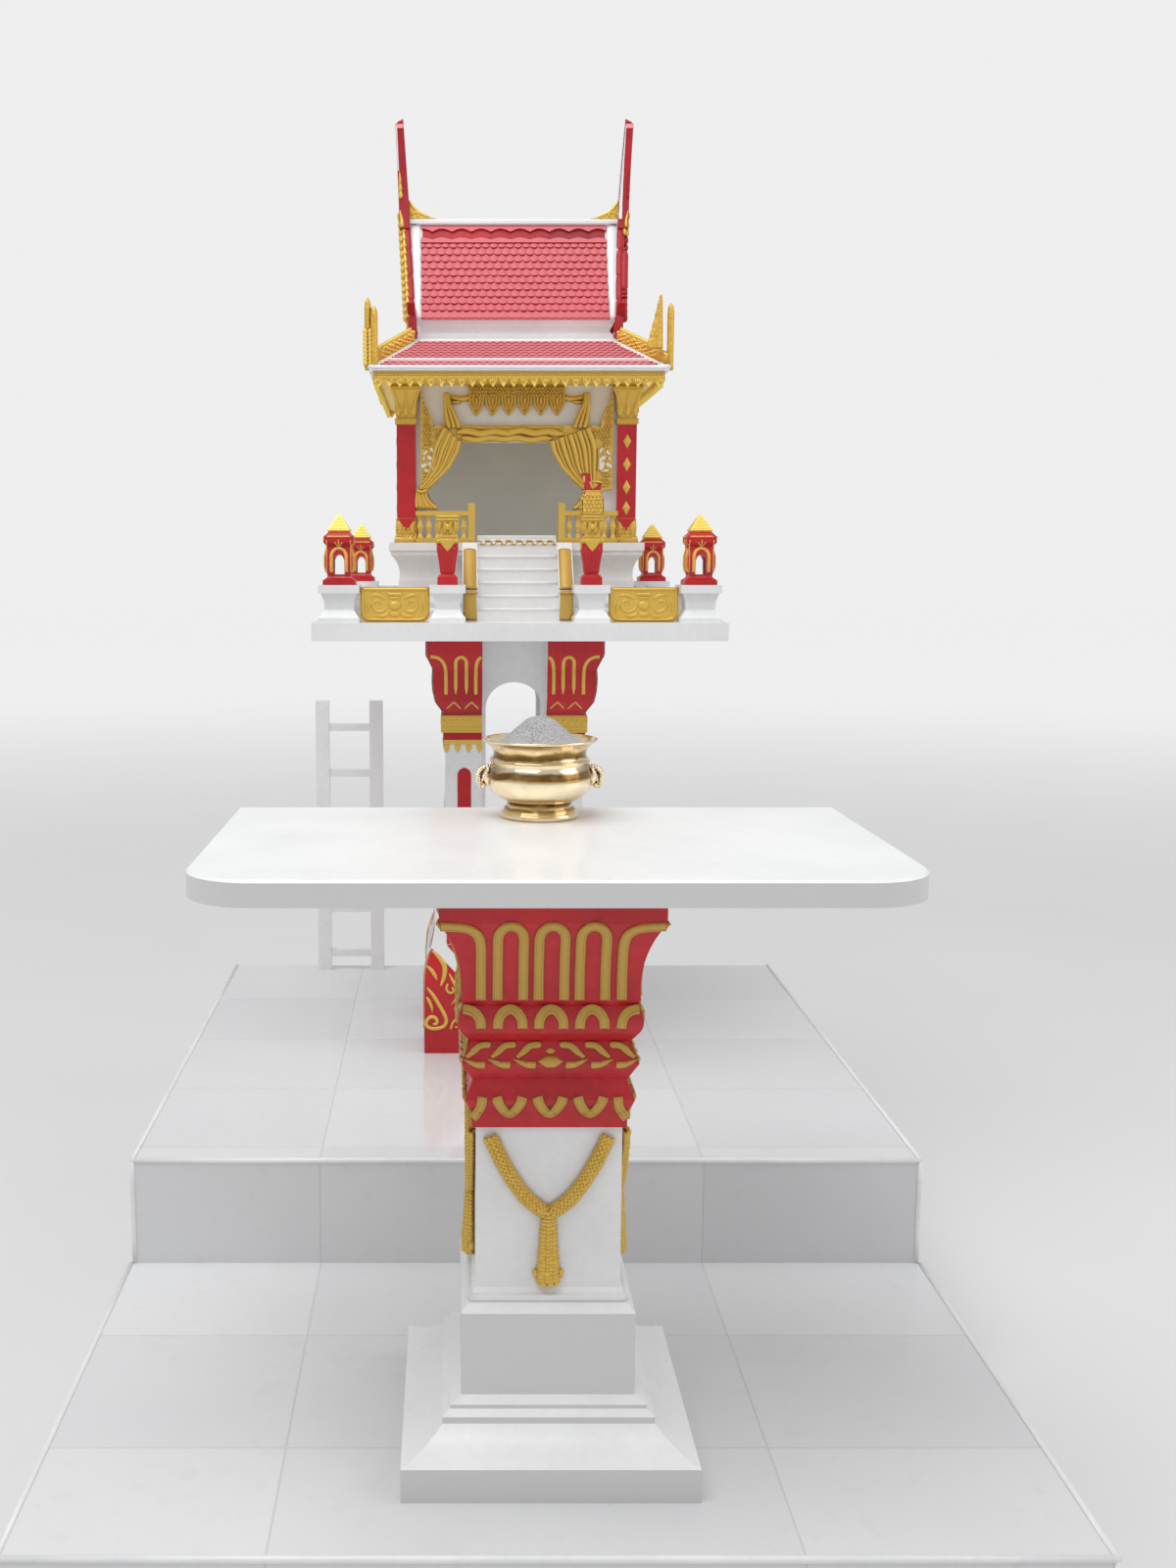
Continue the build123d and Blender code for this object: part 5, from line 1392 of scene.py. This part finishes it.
for index in range(6):
    u = (index - 2.5) * 0.029
    for mirror in (-1, 1):
        for reach, low in ((0.0122, 1.531), (0.0062, 1.5385)):
            rim = [(u + mirror * reach, 1.564), (u + mirror * reach * 0.98, 1.552),
                   (u + mirror * reach * 0.62, 1.542), (u + mirror * 0.0006, low)]
            curve(carving, screen, rim, 5, 0.004, 0.0028, even, 4)
    curve(carving, screen, [(u, 1.56), (u, 1.554), (u, 1.545)], 4, 0.0062, 0.0036, lance)
thicket(carving, screen, (-0.0865, 1.561, 0.0865, 1.58), 0.0062, 0.0046, 0.0034)
for mirror in BOTH_HANDS:
    edge = -1 if mirror else 1
    for near, low, far, high in THICKETS:
        left, right = sorted((edge * near, edge * far))
        thicket(carving, screen, (left, low, right, high), 0.0062, 0.0042, 0.003)
    for curl in ([(0.1702, 1.43), (0.164, 1.435), (0.16, 1.443), (0.164, 1.45), (0.17, 1.447)],
                 [(0.1702, 1.456), (0.162, 1.456), (0.156, 1.464), (0.16, 1.472), (0.169, 1.47)],
                 [(0.1465, 1.43), (0.148, 1.45), (0.147, 1.47)]):
        curve(carving, screen, curl, 5, 0.0044, 0.0034, blunt, 5, mirror)
front_wall = Face("wall_front", HOUSE_MIDDLE, 0)
for mirror in BOTH_HANDS:
    for line, width in (([(0.124, 1.561), (0.112, 1.559), (0.099, 1.5575), (0.084, 1.56)], 0.011),
                        ([(0.122, 1.553), (0.112, 1.552), (0.101, 1.553)], 0.008)):
        curve(carving, front_wall, line, 6, width, 0.011, blunt, 6, mirror)
piece("screen_carving", carving, gold_paint)

# %% [markdown]
# White paint shows again inside the carving: ragged gaps beside the drapes, as if lace had been cut out.

# %% White gaps beside the drapes
TONGUES = ((0.152, 1.466, 1.0, 0.9), (0.164, 1.462, 0.8, 2.3), (0.1545, 1.452, 1.2, 0.5),
           (0.1665, 1.4515, 0.9, 1.7), (0.154, 1.4385, 1.3, 1.0), (0.166, 1.4395, 1.0, 2.6),
           (0.15, 1.444, 0.9, 1.5), (0.161, 1.43, 0.9, 0.2))
gaps = bmesh.new()
for mirror in BOTH_HANDS:
    for u, z, size, lean in TONGUES:
        reach = 0.0062 * size
        tongue = [(u + math.cos(lean) * reach * s, z + math.sin(lean) * reach * s)
                  for s in (-1, -0.3, 0.4, 1)]
        curve(gaps, screen, tongue, 4, reach, 0.0022, blunt, 5, mirror)
piece("screen_white_gaps", gaps, white_enamel)

# %% [markdown]
# Each pillar is red between a gilded base and capital. The red comes down over the base in a point. The
# faces that look outwards carry four gold lozenges. Petals and fine lines sharpen the cast mouldings.

# %% Pillars
pillar_gold = bmesh.new()
pillar_red = bmesh.new()
for x in (-0.199, 0.199):
    for y in (0.313, 0.687):
        for turn in ALL_SIDES:
            shaft = Face(("pillar_shafts", "pillar_bases", "pillar_capitals"), (x, y), turn, 0.06)
            outward = (turn == 90 and x > 0) or (turn == 270 and x < 0) or (turn == 0 and x > 0 and y < 0.5)
            if outward:
                for z in (1.3642, 1.4012, 1.4419, 1.4826):
                    bar(pillar_gold, shaft, (0, z - 0.013), (0, z + 0.013), 0.0155, 0.0022,
                        lambda t: max(0.04, 1 - abs(2 * t - 1)), 4, gap=0.001)
            point = [(1.3462 - 0.001, -0.0165, 0.0165), (1.338, -0.0105, 0.0105), (1.325, -0.0006, 0.0006)]
            skin(pillar_red, shaft, point, 0.0012)
            for z, width in ((1.5145, 0.0034), (1.521, 0.003), (1.3085, 0.003), (1.5775, 0.004)):
                bar(pillar_gold, shaft, (-0.0245, z), (0.0245, z), width, 0.0016, even, 4)
            for u in (-0.0115, 0.0115):
                petal = [(u, 1.342), (u, 1.33), (u * 1.1, 1.312)]
                curve(pillar_gold, shaft, petal, 4, 0.012, 0.002, lance, 4)
            thicket(pillar_gold, shaft, (-0.0205, 1.31, 0.0205, 1.34), 0.0068, 0.0036, 0.0022,
                    lambda u, z: abs(u) > 0.016 - (1.344 - z) * 0.75)
            for u in (-0.0135, 0.0, 0.0135):
                petal = [(u, 1.527), (u, 1.54), (u * 1.3, 1.556), (u * 1.45, 1.57)]
                curve(pillar_gold, shaft, petal, 4, 0.0105, 0.0026, flame, 4)
piece("pillar_gold_relief", pillar_gold, gold_paint)
piece("pillar_red_points", pillar_red, red_enamel)

# %% [markdown]
# The cornice runs round the house as a gold band: fine lines, then a crowded row of cast flowers, and a
# fringe of hanging leaves with a rib in each, so that every leaf catches the light like the cast one.

# %% Cornice
cornice_gold = bmesh.new()
for turn in ALL_SIDES:
    band = Face(("cornice", "cornice_fringe"), HOUSE_MIDDLE, turn, 0.5)
    reach = 0.252 if turn in FRONT_AND_BACK else 0.292
    for z, width, height in ((1.5935, 0.0026, 0.0026), (1.5892, 0.0034, 0.002), (1.5845, 0.004, 0.003)):
        bar(cornice_gold, band, (-reach + 0.0003, z), (reach - 0.0003, z), width, height, even, 4, gap=0.01)
    count = 2 * round(2 * reach / 0.0136 / 2)
    for index in range(count):
        u = -reach + (index + 0.5) * 2 * reach / count
        for aside in (-0.0034, 0.0, 0.0034):
            tip = 1.574 - 0.0006 * (aside == 0)
            leaf = [(u + aside * 0.4, 1.583), (u + aside, 1.579), (u + aside * 0.5, tip)]
            curve(cornice_gold, band, leaf, 3, 0.0044, 0.0034, lance, 4)
        found = band.find(u + reach / count, 1.5812)
        if found:
            bead(cornice_gold, found[0], 0.0026)
    count = round(2 * reach / 0.006)
    for index in range(count):
        u = -reach + (index + 0.5) * 2 * reach / count
        dash = band.lay([(u - 0.0016, 1.5868), (u + 0.0016, 1.5868)])
        strip(cornice_gold, dash, 0.0028, 0.002, even, 4)
piece("cornice_relief", cornice_gold, bright_gold)

# %% [markdown]
# A gilded crest climbs each hip of the lower roof, and its tail stands up at the eave corner as a pair of
# prongs. The plain blade is replaced: each prong is turned as a horn with a rounded tip. Both sides of the
# crest get the same small leaves as the screen, with a row of leaf tips along its top and scales up the
# outer prong. In the picture the right-hand corner has a broad notched leaf in place of the inner prong.

# %% Hip crests and their prongs
crest_gold = bmesh.new()
horns = bmesh.new()
CREST_TURN = 66.6
CREST_HALF = 0.0958
CREST_HEIGHT = 0.0225
HORN_ANGLES = [2 * math.pi * side / 12 for side in range(12)]
SCALE_ROWS = 9


def crest_foot(u):
    """How high the foot of a crest is at a distance along it from its middle."""
    return 1.669 - 0.069 * (CREST_HALF - u) / (2 * CREST_HALF)


def horn(made, foot, height, width, thickness):
    """A slim upright horn with a rounded tip."""
    rings = []
    for step in range(25):
        t = step / 24
        grow = min(1.0, math.sqrt(max(0.0, 1 - ((t - 0.82) / 0.18) ** 2)) if t > 0.82 else 1.08 - 0.1 * t)
        across, back = width * max(grow, 0.08), thickness * max(grow, 0.08)
        ring = [foot + Vector((math.cos(a) * across, math.sin(a) * back, height * t)) for a in HORN_ANGLES]
        rings.append([made.verts.new(point) for point in ring])
    close_rings(made, rings, len(HORN_ANGLES))


def tail_leaf(made, corner):
    """The broad notched leaf that stands on the right-hand crests, with a straight outer edge."""
    rings = []
    for step in range(37):
        t = step / 36
        outer = -0.0115 - 0.002 * t
        inner = outer - 0.004 - 0.024 * (1 - t) ** 1.1 - 0.0016 * abs(math.sin(t * 5.5 * math.pi))
        close = max(0.1, math.sqrt(max(0.0, 1 - ((t - 0.94) / 0.06) ** 2)) if t > 0.94 else 1.0)
        half = (outer - inner) / 2 * close
        middle = corner + Vector(((outer + inner) / 2, 0, 0.036 + 0.0905 * t))
        ring = [middle + Vector((math.cos(a) * half, math.sin(a) * 0.0056 * close, 0)) for a in HORN_ANGLES]
        rings.append([made.verts.new(point) for point in ring])
    close_rings(made, rings, len(HORN_ANGLES))


def ridge_body(made, corner, x_way, y_way):
    """The solid crest under the leaves: it climbs from the eave corner to the neck of the roof."""
    turn = math.radians(CREST_TURN)
    run = Vector((-x_way * math.cos(turn), -y_way * math.sin(turn), 0))
    side_way = Vector((-run.y, run.x, 0))
    outline = ((-0.006, -0.006), (0.006, -0.006), (0.006, 0.02), (0.004, 0.0232), (-0.004, 0.0232),
               (-0.006, 0.02))
    rings = []
    for step in range(13):
        u = -0.09 + 0.1718 * step / 12
        foot = crest_foot(u)
        place = Vector((corner.x, corner.y, 0)) + run * (u + CREST_HALF)
        rings.append([made.verts.new(place + side_way * a + Vector((0, 0, foot + b))) for a, b in outline])
    close_rings(made, rings, len(outline))


def leaf_tip(made, foot, bend, out, sway, width, height, swell):
    """A small upright leaf that bends away as it climbs."""
    laid = [(foot + bend * (s * s) + out * (sway * s) + Vector((0, 0, 0.011 * s)), out)
            for s in (0.0, 0.35, 0.7, 1.0)]
    strip(made, laid, width, height, swell, 4)


for x_way in (-1, 1):
    for y_way in (-1, 1):
        corner = Vector((x_way * 0.26, 0.5 + y_way * 0.3, 1.597))
        if x_way < 0:
            horn(horns, corner + Vector((-x_way * 0.009, -y_way * 0.006, 0)), 0.1075, 0.0064, 0.006)
        else:
            tail_leaf(horns, corner + Vector((0, -y_way * 0.006, 0)))
        outer_foot = corner + Vector((x_way * 0.0018, -y_way * 0.0105, 0))
        horn(horns, outer_foot, 0.1215 if x_way < 0 else 0.113, 0.006, 0.0064)
        ridge_body(horns, corner, x_way, y_way)
        for row in range(SCALE_ROWS if x_way < 0 else 0):
            rise = 0.006 + 0.0066 * row
            for column in (-1, 1):
                foot = corner + Vector((x_way * 0.0018 + column * 0.003, y_way * -0.0046, rise))
                bend = Vector((column * 0.0022, 0, 0))
                leaf_tip(crest_gold, foot, bend, Vector((0, y_way, 0)), 0.001, 0.0072, 0.0036, lance)
                foot = corner + Vector((x_way * 0.0074, -y_way * 0.0105 + column * 0.003, rise))
                bend = Vector((0, column * 0.0022, 0))
                leaf_tip(crest_gold, foot, bend, Vector((x_way, 0, 0)), 0.001, 0.0072, 0.003, lance)
        middle = (x_way * 0.222, 0.5 + y_way * 0.212)
        for flank in (0, 180):
            turn = (-x_way * CREST_TURN if y_way < 0 else 180 + x_way * CREST_TURN) + flank
            crest = Face("hip_finials", middle, turn, 0.03)
            along = x_way * y_way * (1 if flank == 0 else -1)

            def on_crest(u, z):
                """Whether a leaf of the thicket lies on the crest, short of its tail."""
                return u * along > -0.057 and 0.002 < z - crest_foot(u * along) < CREST_HEIGHT

            thicket(crest_gold, crest, (-0.08, 1.608, 0.08, 1.69), 0.007, 0.005, 0.0032, on_crest)
            for step in range(18):
                u = -0.064 + 0.008 * step
                foot = Vector((*middle, crest_foot(u) + CREST_HEIGHT - 0.003)) + crest.right * (u * along)
                bend = crest.right * (0.005 * along)
                leaf_tip(crest_gold, foot, bend, crest.out, 0.0, 0.0078, 0.005, flame)
piece("hip_crest_leaves", crest_gold, bright_gold)
piece("hip_horns", horns, scaly_gold, replaces=("hip_finials",))

# %% [markdown]
# Along the front of the platform stand small painted pieces: two gilded relief panels with rounded lower
# corners, four lanterns with arched niches, and two newel posts that guard the stair. The relief on the
# panels is worn soft in the picture: a raised rim, a lintel and a round boss in the middle, and scroll
# flowers in the corners.

# %% Relief panels
PARAPET_Y = 0.147
PANEL_RIM = [(-0.056, 1.2205), (-0.056, 1.18), (-0.051, 1.171), (-0.042, 1.168), (0.042, 1.168),
             (0.051, 1.171), (0.056, 1.18), (0.056, 1.2205), (-0.056, 1.2205)]
PANEL_SCROLLS = (
    (0.0064, [(0.013, 1.19), (0.022, 1.183), (0.033, 1.184), (0.038, 1.193), (0.033, 1.201),
              (0.025, 1.199), (0.026, 1.1925)]),
    (0.006, [(0.016, 1.203), (0.024, 1.209), (0.035, 1.211), (0.044, 1.207)]),
    (0.0066, [(0.04, 1.199), (0.046, 1.19), (0.047, 1.18)]),
    (0.006, [(0.011, 1.179), (0.021, 1.1745), (0.034, 1.1755)]),
)
panel_gold = bmesh.new()
for x in (-0.215, 0.215):
    panel = Face("relief_panels", (x, PARAPET_Y), 0, 0.1)
    strip(panel_gold, panel.lay(fine(PANEL_RIM, 0.003)), 0.0052, 0.0022)
    bar(panel_gold, panel, (-0.013, 1.212), (0.013, 1.212), 0.006, 0.0024, blunt, 5)
    bar(panel_gold, panel, (-0.01, 1.206), (0.01, 1.206), 0.004, 0.0018, blunt, 5)
    bead(panel_gold, panel.find(0, 1.193)[0], 0.0085, (1.2, 0.4, 0.9), levels=3)
    bead(panel_gold, panel.find(0, 1.178)[0], 0.006, (1.6, 0.35, 0.7), levels=3)
    for mirror in BOTH_HANDS:
        for width, scroll in PANEL_SCROLLS:
            curve(panel_gold, panel, scroll, 5, width, 0.002, lance, 6, mirror)
piece("panel_relief", panel_gold, gold_paint)

# %% Lanterns
lantern_gold = bmesh.new()
cap_gold = bmesh.new()
for x in (-0.31, 0.31):
    for y in (PARAPET_Y, 0.803):
        for turn in ALL_SIDES:
            post = Face("lantern_posts", (x, y), turn, 0.08)
            arch = post.lay(fine(hairpin(0.0128, 1.25, 1.2905)))
            strip(lantern_gold, arch, 0.0064, 0.0034, even, 6)
            crescent = [(-0.0066, 1.301), (-0.003, 1.2955), (0.0, 1.2942), (0.003, 1.2955), (0.0066, 1.301)]
            curve(lantern_gold, post, crescent, 4, 0.0038, 0.0026,
                  lambda t: 0.4 + 0.6 * math.sin(math.pi * t))
            bar(lantern_gold, post, (0, 1.29), (0, 1.306), 0.0056, 0.003, flame, 4)
            for u in (-0.0205, 0.0205):
                bar(lantern_gold, post, (u, 1.244), (u, 1.304), 0.0022, 0.0014, even, 4, gap=0.003)
            bar(lantern_gold, post, (-0.02, 1.31), (0.02, 1.31), 0.0026, 0.0014, even, 4, gap=0.003)
            cap = Face("lantern_caps", (x, y), turn, 0.08)
            for t in (0.12, 0.34, 0.56, 0.78):
                z = 1.3215 + 0.0245 * t
                reach = 0.0176 * (1 - t)
                bar(cap_gold, cap, (-reach, z), (reach, z), 0.004, 0.0012, blunt, 5)
piece("lantern_cap_relief", cap_gold, bright_gold)
piece("lantern_relief", lantern_gold, orange_gold)

# %% [markdown]
# A newel is a red vase with ribs, under a gilt bud that hangs down over it in points. Only the right one
# keeps its tall crown: a gilt block with a red notched top. The left one has lost it, and that is kept.

# %% Newels
newel_gold = bmesh.new()
newel_red = bmesh.new()
for x in (-0.124, 0.124):
    for turn in ALL_SIDES:
        vase = Face("newel_vases", (x, PARAPET_Y), turn, 0.06)
        for u in (-0.0105, -0.0035, 0.0035, 0.0105):
            rib = [(u * 0.62, 1.247), (u * 0.85, 1.268), (u * 1.2, 1.292)]
            curve(newel_red, vase, rib, 4, 0.0054, 0.0016, blunt, 4)
        bar(newel_red, vase, (-0.0158, 1.244), (0.0158, 1.244), 0.004, 0.0016, even, 5, gap=0.003)
        bud = Face(("newel_capitals", "newel_vases"), (x, PARAPET_Y), turn, 0.06)
        pendant = [(0, 1.306), (0, 1.296), (0, 1.285)]
        curve(newel_gold, bud, pendant, 5, 0.033, 0.0036, lambda t: max(0.05, 1 - t ** 1.4), 6)
        for z, width in ((1.303, 0.004), (1.31, 0.003), (1.3385, 0.0034), (1.344, 0.0034)):
            bar(newel_gold, bud, (-0.0185, z), (0.0185, z), width, 0.0022, even, 4)
        for u in (-0.0135, -0.0045, 0.0045, 0.0135):
            curve(newel_gold, bud, [(u, 1.3365), (u, 1.326), (u, 1.313)], 4, 0.0082, 0.0034, lance)
        bead(newel_gold, bud.find(0, 1.327)[0], 0.006, (1, 1, 1.1), levels=2)
crown_rows = heights(1.3465, 1.387, 0.007)
for turn in ALL_SIDES:
    crown = Face("newel_crown", (0.1235, PARAPET_Y), turn, 0.06)
    skin(newel_gold, crown, [(z, *reach_of(crown, z)) for z in crown_rows], 0.0009, 4)
    thicket(newel_gold, crown, (-0.0165, 1.35, 0.0165, 1.384), 0.0066, 0.0048, 0.0032)
    for z in (1.3485, 1.3865):
        bar(newel_gold, crown, (-0.0171, z), (0.0171, z), 0.0036, 0.0024, even, 4)
    for start, end in (((-0.005, 1.403), (0.0006, 1.3905)), ((0.0006, 1.3905), (0.008, 1.399)),
                       ((-0.015, 1.39), (-0.015, 1.412))):
        bar(newel_gold, crown, start, end, 0.0042, 0.002, blunt, 4)
piece("newel_gold_relief", newel_gold, gold_paint)
piece("newel_red_ribs", newel_red, red_enamel)

# %% [markdown]
# The white steps have a soft rounded nosing that gives each its own shadow. The head of the stair has a
# sill with a strip of gilt scrollwork on it. Half-round gold rails lie on the white cheeks of the stair,
# with a ring low down and a block at the foot.

# %% Steps, threshold and stair rails
stair_white = bmesh.new()
stair_gold = bmesh.new()
FORWARD = Vector((0, -1, 0))
STEPS = 6
STEP_RISE = 0.023
SILL_Z = 1.3018
WAVES = 340


def tread(y, z):
    """A level line across the stair that faces forward."""
    return [(Vector((-0.0706 + 0.1412 * i / 8, y, z)), FORWARD) for i in range(9)]


for step in range(STEPS):
    nosing = tread(0.182 + step * 0.088 / STEPS, 1.164 + STEP_RISE * (step + 1) - 0.0022)
    strip(stair_white, nosing, 0.0052, 0.0026, even, 6)
for y, z, width in ((0.2765, 1.3085, 0.013), (0.259, 1.304, 0.008)):
    strip(stair_white, tread(y, z), width, 0.0026, even, 6, square=0.35)
wave = []
for index in range(91):
    u = -0.069 + 0.138 * index / 90
    wave.append((Vector((u, 0.255, SILL_Z + 0.0034 * math.sin(u * WAVES))), FORWARD))
strip(stair_gold, wave, 0.0034, 0.0026)
for index in range(15):
    u = -0.0647 + index * 0.00924
    bead(stair_gold, Vector((u, 0.2545, SILL_Z + (0.003 if math.sin(u * WAVES) < 0 else -0.003))), 0.0022)
for x in (-0.0845, 0.0845):
    rail = Face("stair_rails", (x, 0.226), 0, 0.1)
    bar(stair_gold, rail, (0, 1.219), (0, 1.3), 0.0232, 0.006, even, 10, gap=0.003)
    bar(stair_gold, rail, (0, 1.166), (0, 1.213), 0.0236, 0.0036, lambda t: 1.05 - 0.12 * t, 6, 0.003, 0.4)
    for z, width in ((1.214, 0.006), (1.22, 0.004)):
        bar(stair_gold, rail, (-0.013, z), (0.013, z), width, 0.0056, blunt, 6)
piece("stair_nosings", stair_white, white_enamel)
piece("stair_relief", stair_gold, dull_gold)

# %% [markdown]
# The incense bowl is spun brass, so its shape is one outline turned about an axis. The outline is drawn
# from foot to rim: a stepped foot, a round belly, a sharp shoulder, a neck with a ring, and a flared lip.
# The two side grips are cast scrolls, made here as small plain bosses with a ring.

# %% Turned brass bowl
BOWL_Y = -0.527


def turned(made, outline, steps=96):
    """Spins an outline of (radius, height) about the upright axis of the bowl; both ends may lie on it."""
    rings = []
    for radius, height in outline:
        angles = [2 * math.pi * step / steps for step in range(1 if radius < 1e-5 else steps)]
        ring = [(math.cos(a) * radius, BOWL_Y + math.sin(a) * radius, BOWL_Z + height) for a in angles]
        rings.append([made.verts.new(point) for point in ring])
    for low, high in zip(rings, rings[1:]):
        for step in range(steps):
            after = (step + 1) % steps
            if len(low) == 1:
                made.faces.new((low[0], high[after], high[step]))
            elif len(high) == 1:
                made.faces.new((low[step], low[after], high[0]))
            else:
                made.faces.new((low[step], low[after], high[after], high[step]))


bowl = bmesh.new()
foot = [(0.0, 0.0002), (0.05, 0.0002), (0.0518, 0.0012), (0.052, 0.005), (0.0506, 0.0075), (0.048, 0.009),
        (0.0476, 0.012), (0.044, 0.016), (0.0418, 0.0205)]
body = flow([(0.0418, 0.0205), (0.049, 0.024), (0.061, 0.032), (0.0682, 0.043), (0.07, 0.051),
             (0.069, 0.058), (0.0662, 0.066), (0.064, 0.07)], 5)
collar = [(0.0634, 0.0712), (0.0648, 0.0722), (0.0664, 0.0742), (0.0666, 0.0765), (0.065, 0.0784),
          (0.063, 0.0792)]
neck = flow([(0.0626, 0.08), (0.0612, 0.085), (0.0622, 0.09), (0.0672, 0.0965), (0.074, 0.1015)], 4)
lip = [(0.0757, 0.1022), (0.0764, 0.1034), (0.0762, 0.1046), (0.075, 0.1049), (0.073, 0.1042),
       (0.066, 0.0985), (0.06, 0.092), (0.059, 0.085)]
turned(bowl, foot + body + collar + neck + lip)
piece("brass_bowl", bowl, brass, replaces=("incense_bowl",))

# %% Side grips
grips = bmesh.new()
for sign in (-1, 1):
    root = Vector((sign * 0.0655, BOWL_Y, BOWL_Z + 0.054))
    for step in range(14):
        t = step / 13
        angle = math.radians(210 * t - 60)
        swirl = Vector((sign * (0.0135 * math.cos(angle) + 0.003), 0, 0.0125 * math.sin(angle)))
        bead(grips, root + swirl, 0.0052 - 0.002 * t, (1, 1.5, 1), levels=2)
    for step in range(18):
        angle = 2 * math.pi * step / 18
        link = Vector((sign * (0.014 + 0.0006 * math.cos(angle)), math.sin(angle) * 0.0085,
                       -0.006 + math.cos(angle) * 0.0085))
        bead(grips, root + link, 0.002)
    for side in (-1, 1):
        for step in range(6):
            t = step / 5
            leaf = Vector((sign * (0.003 + 0.009 * t), side * (0.01 - 0.004 * t), 0.01 - 0.017 * t))
            bead(grips, root + leaf, 0.0034 - 0.001 * t, (1.1, 1, 1.3))
    bead(grips, root + Vector((sign * 0.002, 0, 0)), 0.011, (0.9, 1.1, 1.15), levels=3)
piece("bowl_grips", grips, grip_brass, replaces=("bowl_handles",))

# %% [markdown]
# The sand is heaped into a cone with slightly hollow sides and a soft top. Noise moves its surface a
# little, so that it looks poured and not turned.

# %% Heap of sand
heap = bmesh.new()
slope = flow([(0.064, 0.093), (0.055, 0.0985), (0.043, 0.108), (0.031, 0.1185), (0.02, 0.1278),
              (0.011, 0.1326), (0.004, 0.134)], 6)
turned(heap, [(0.0595, 0.087)] + slope + [(0.0, 0.1341)], 72)
for vert in heap.verts:
    vert.co.z += noise(vert.co * 90) * 0.0011 + noise(vert.co * 260) * 0.0005
piece("sand_heap", heap, sand, replaces=("bowl_sand",))
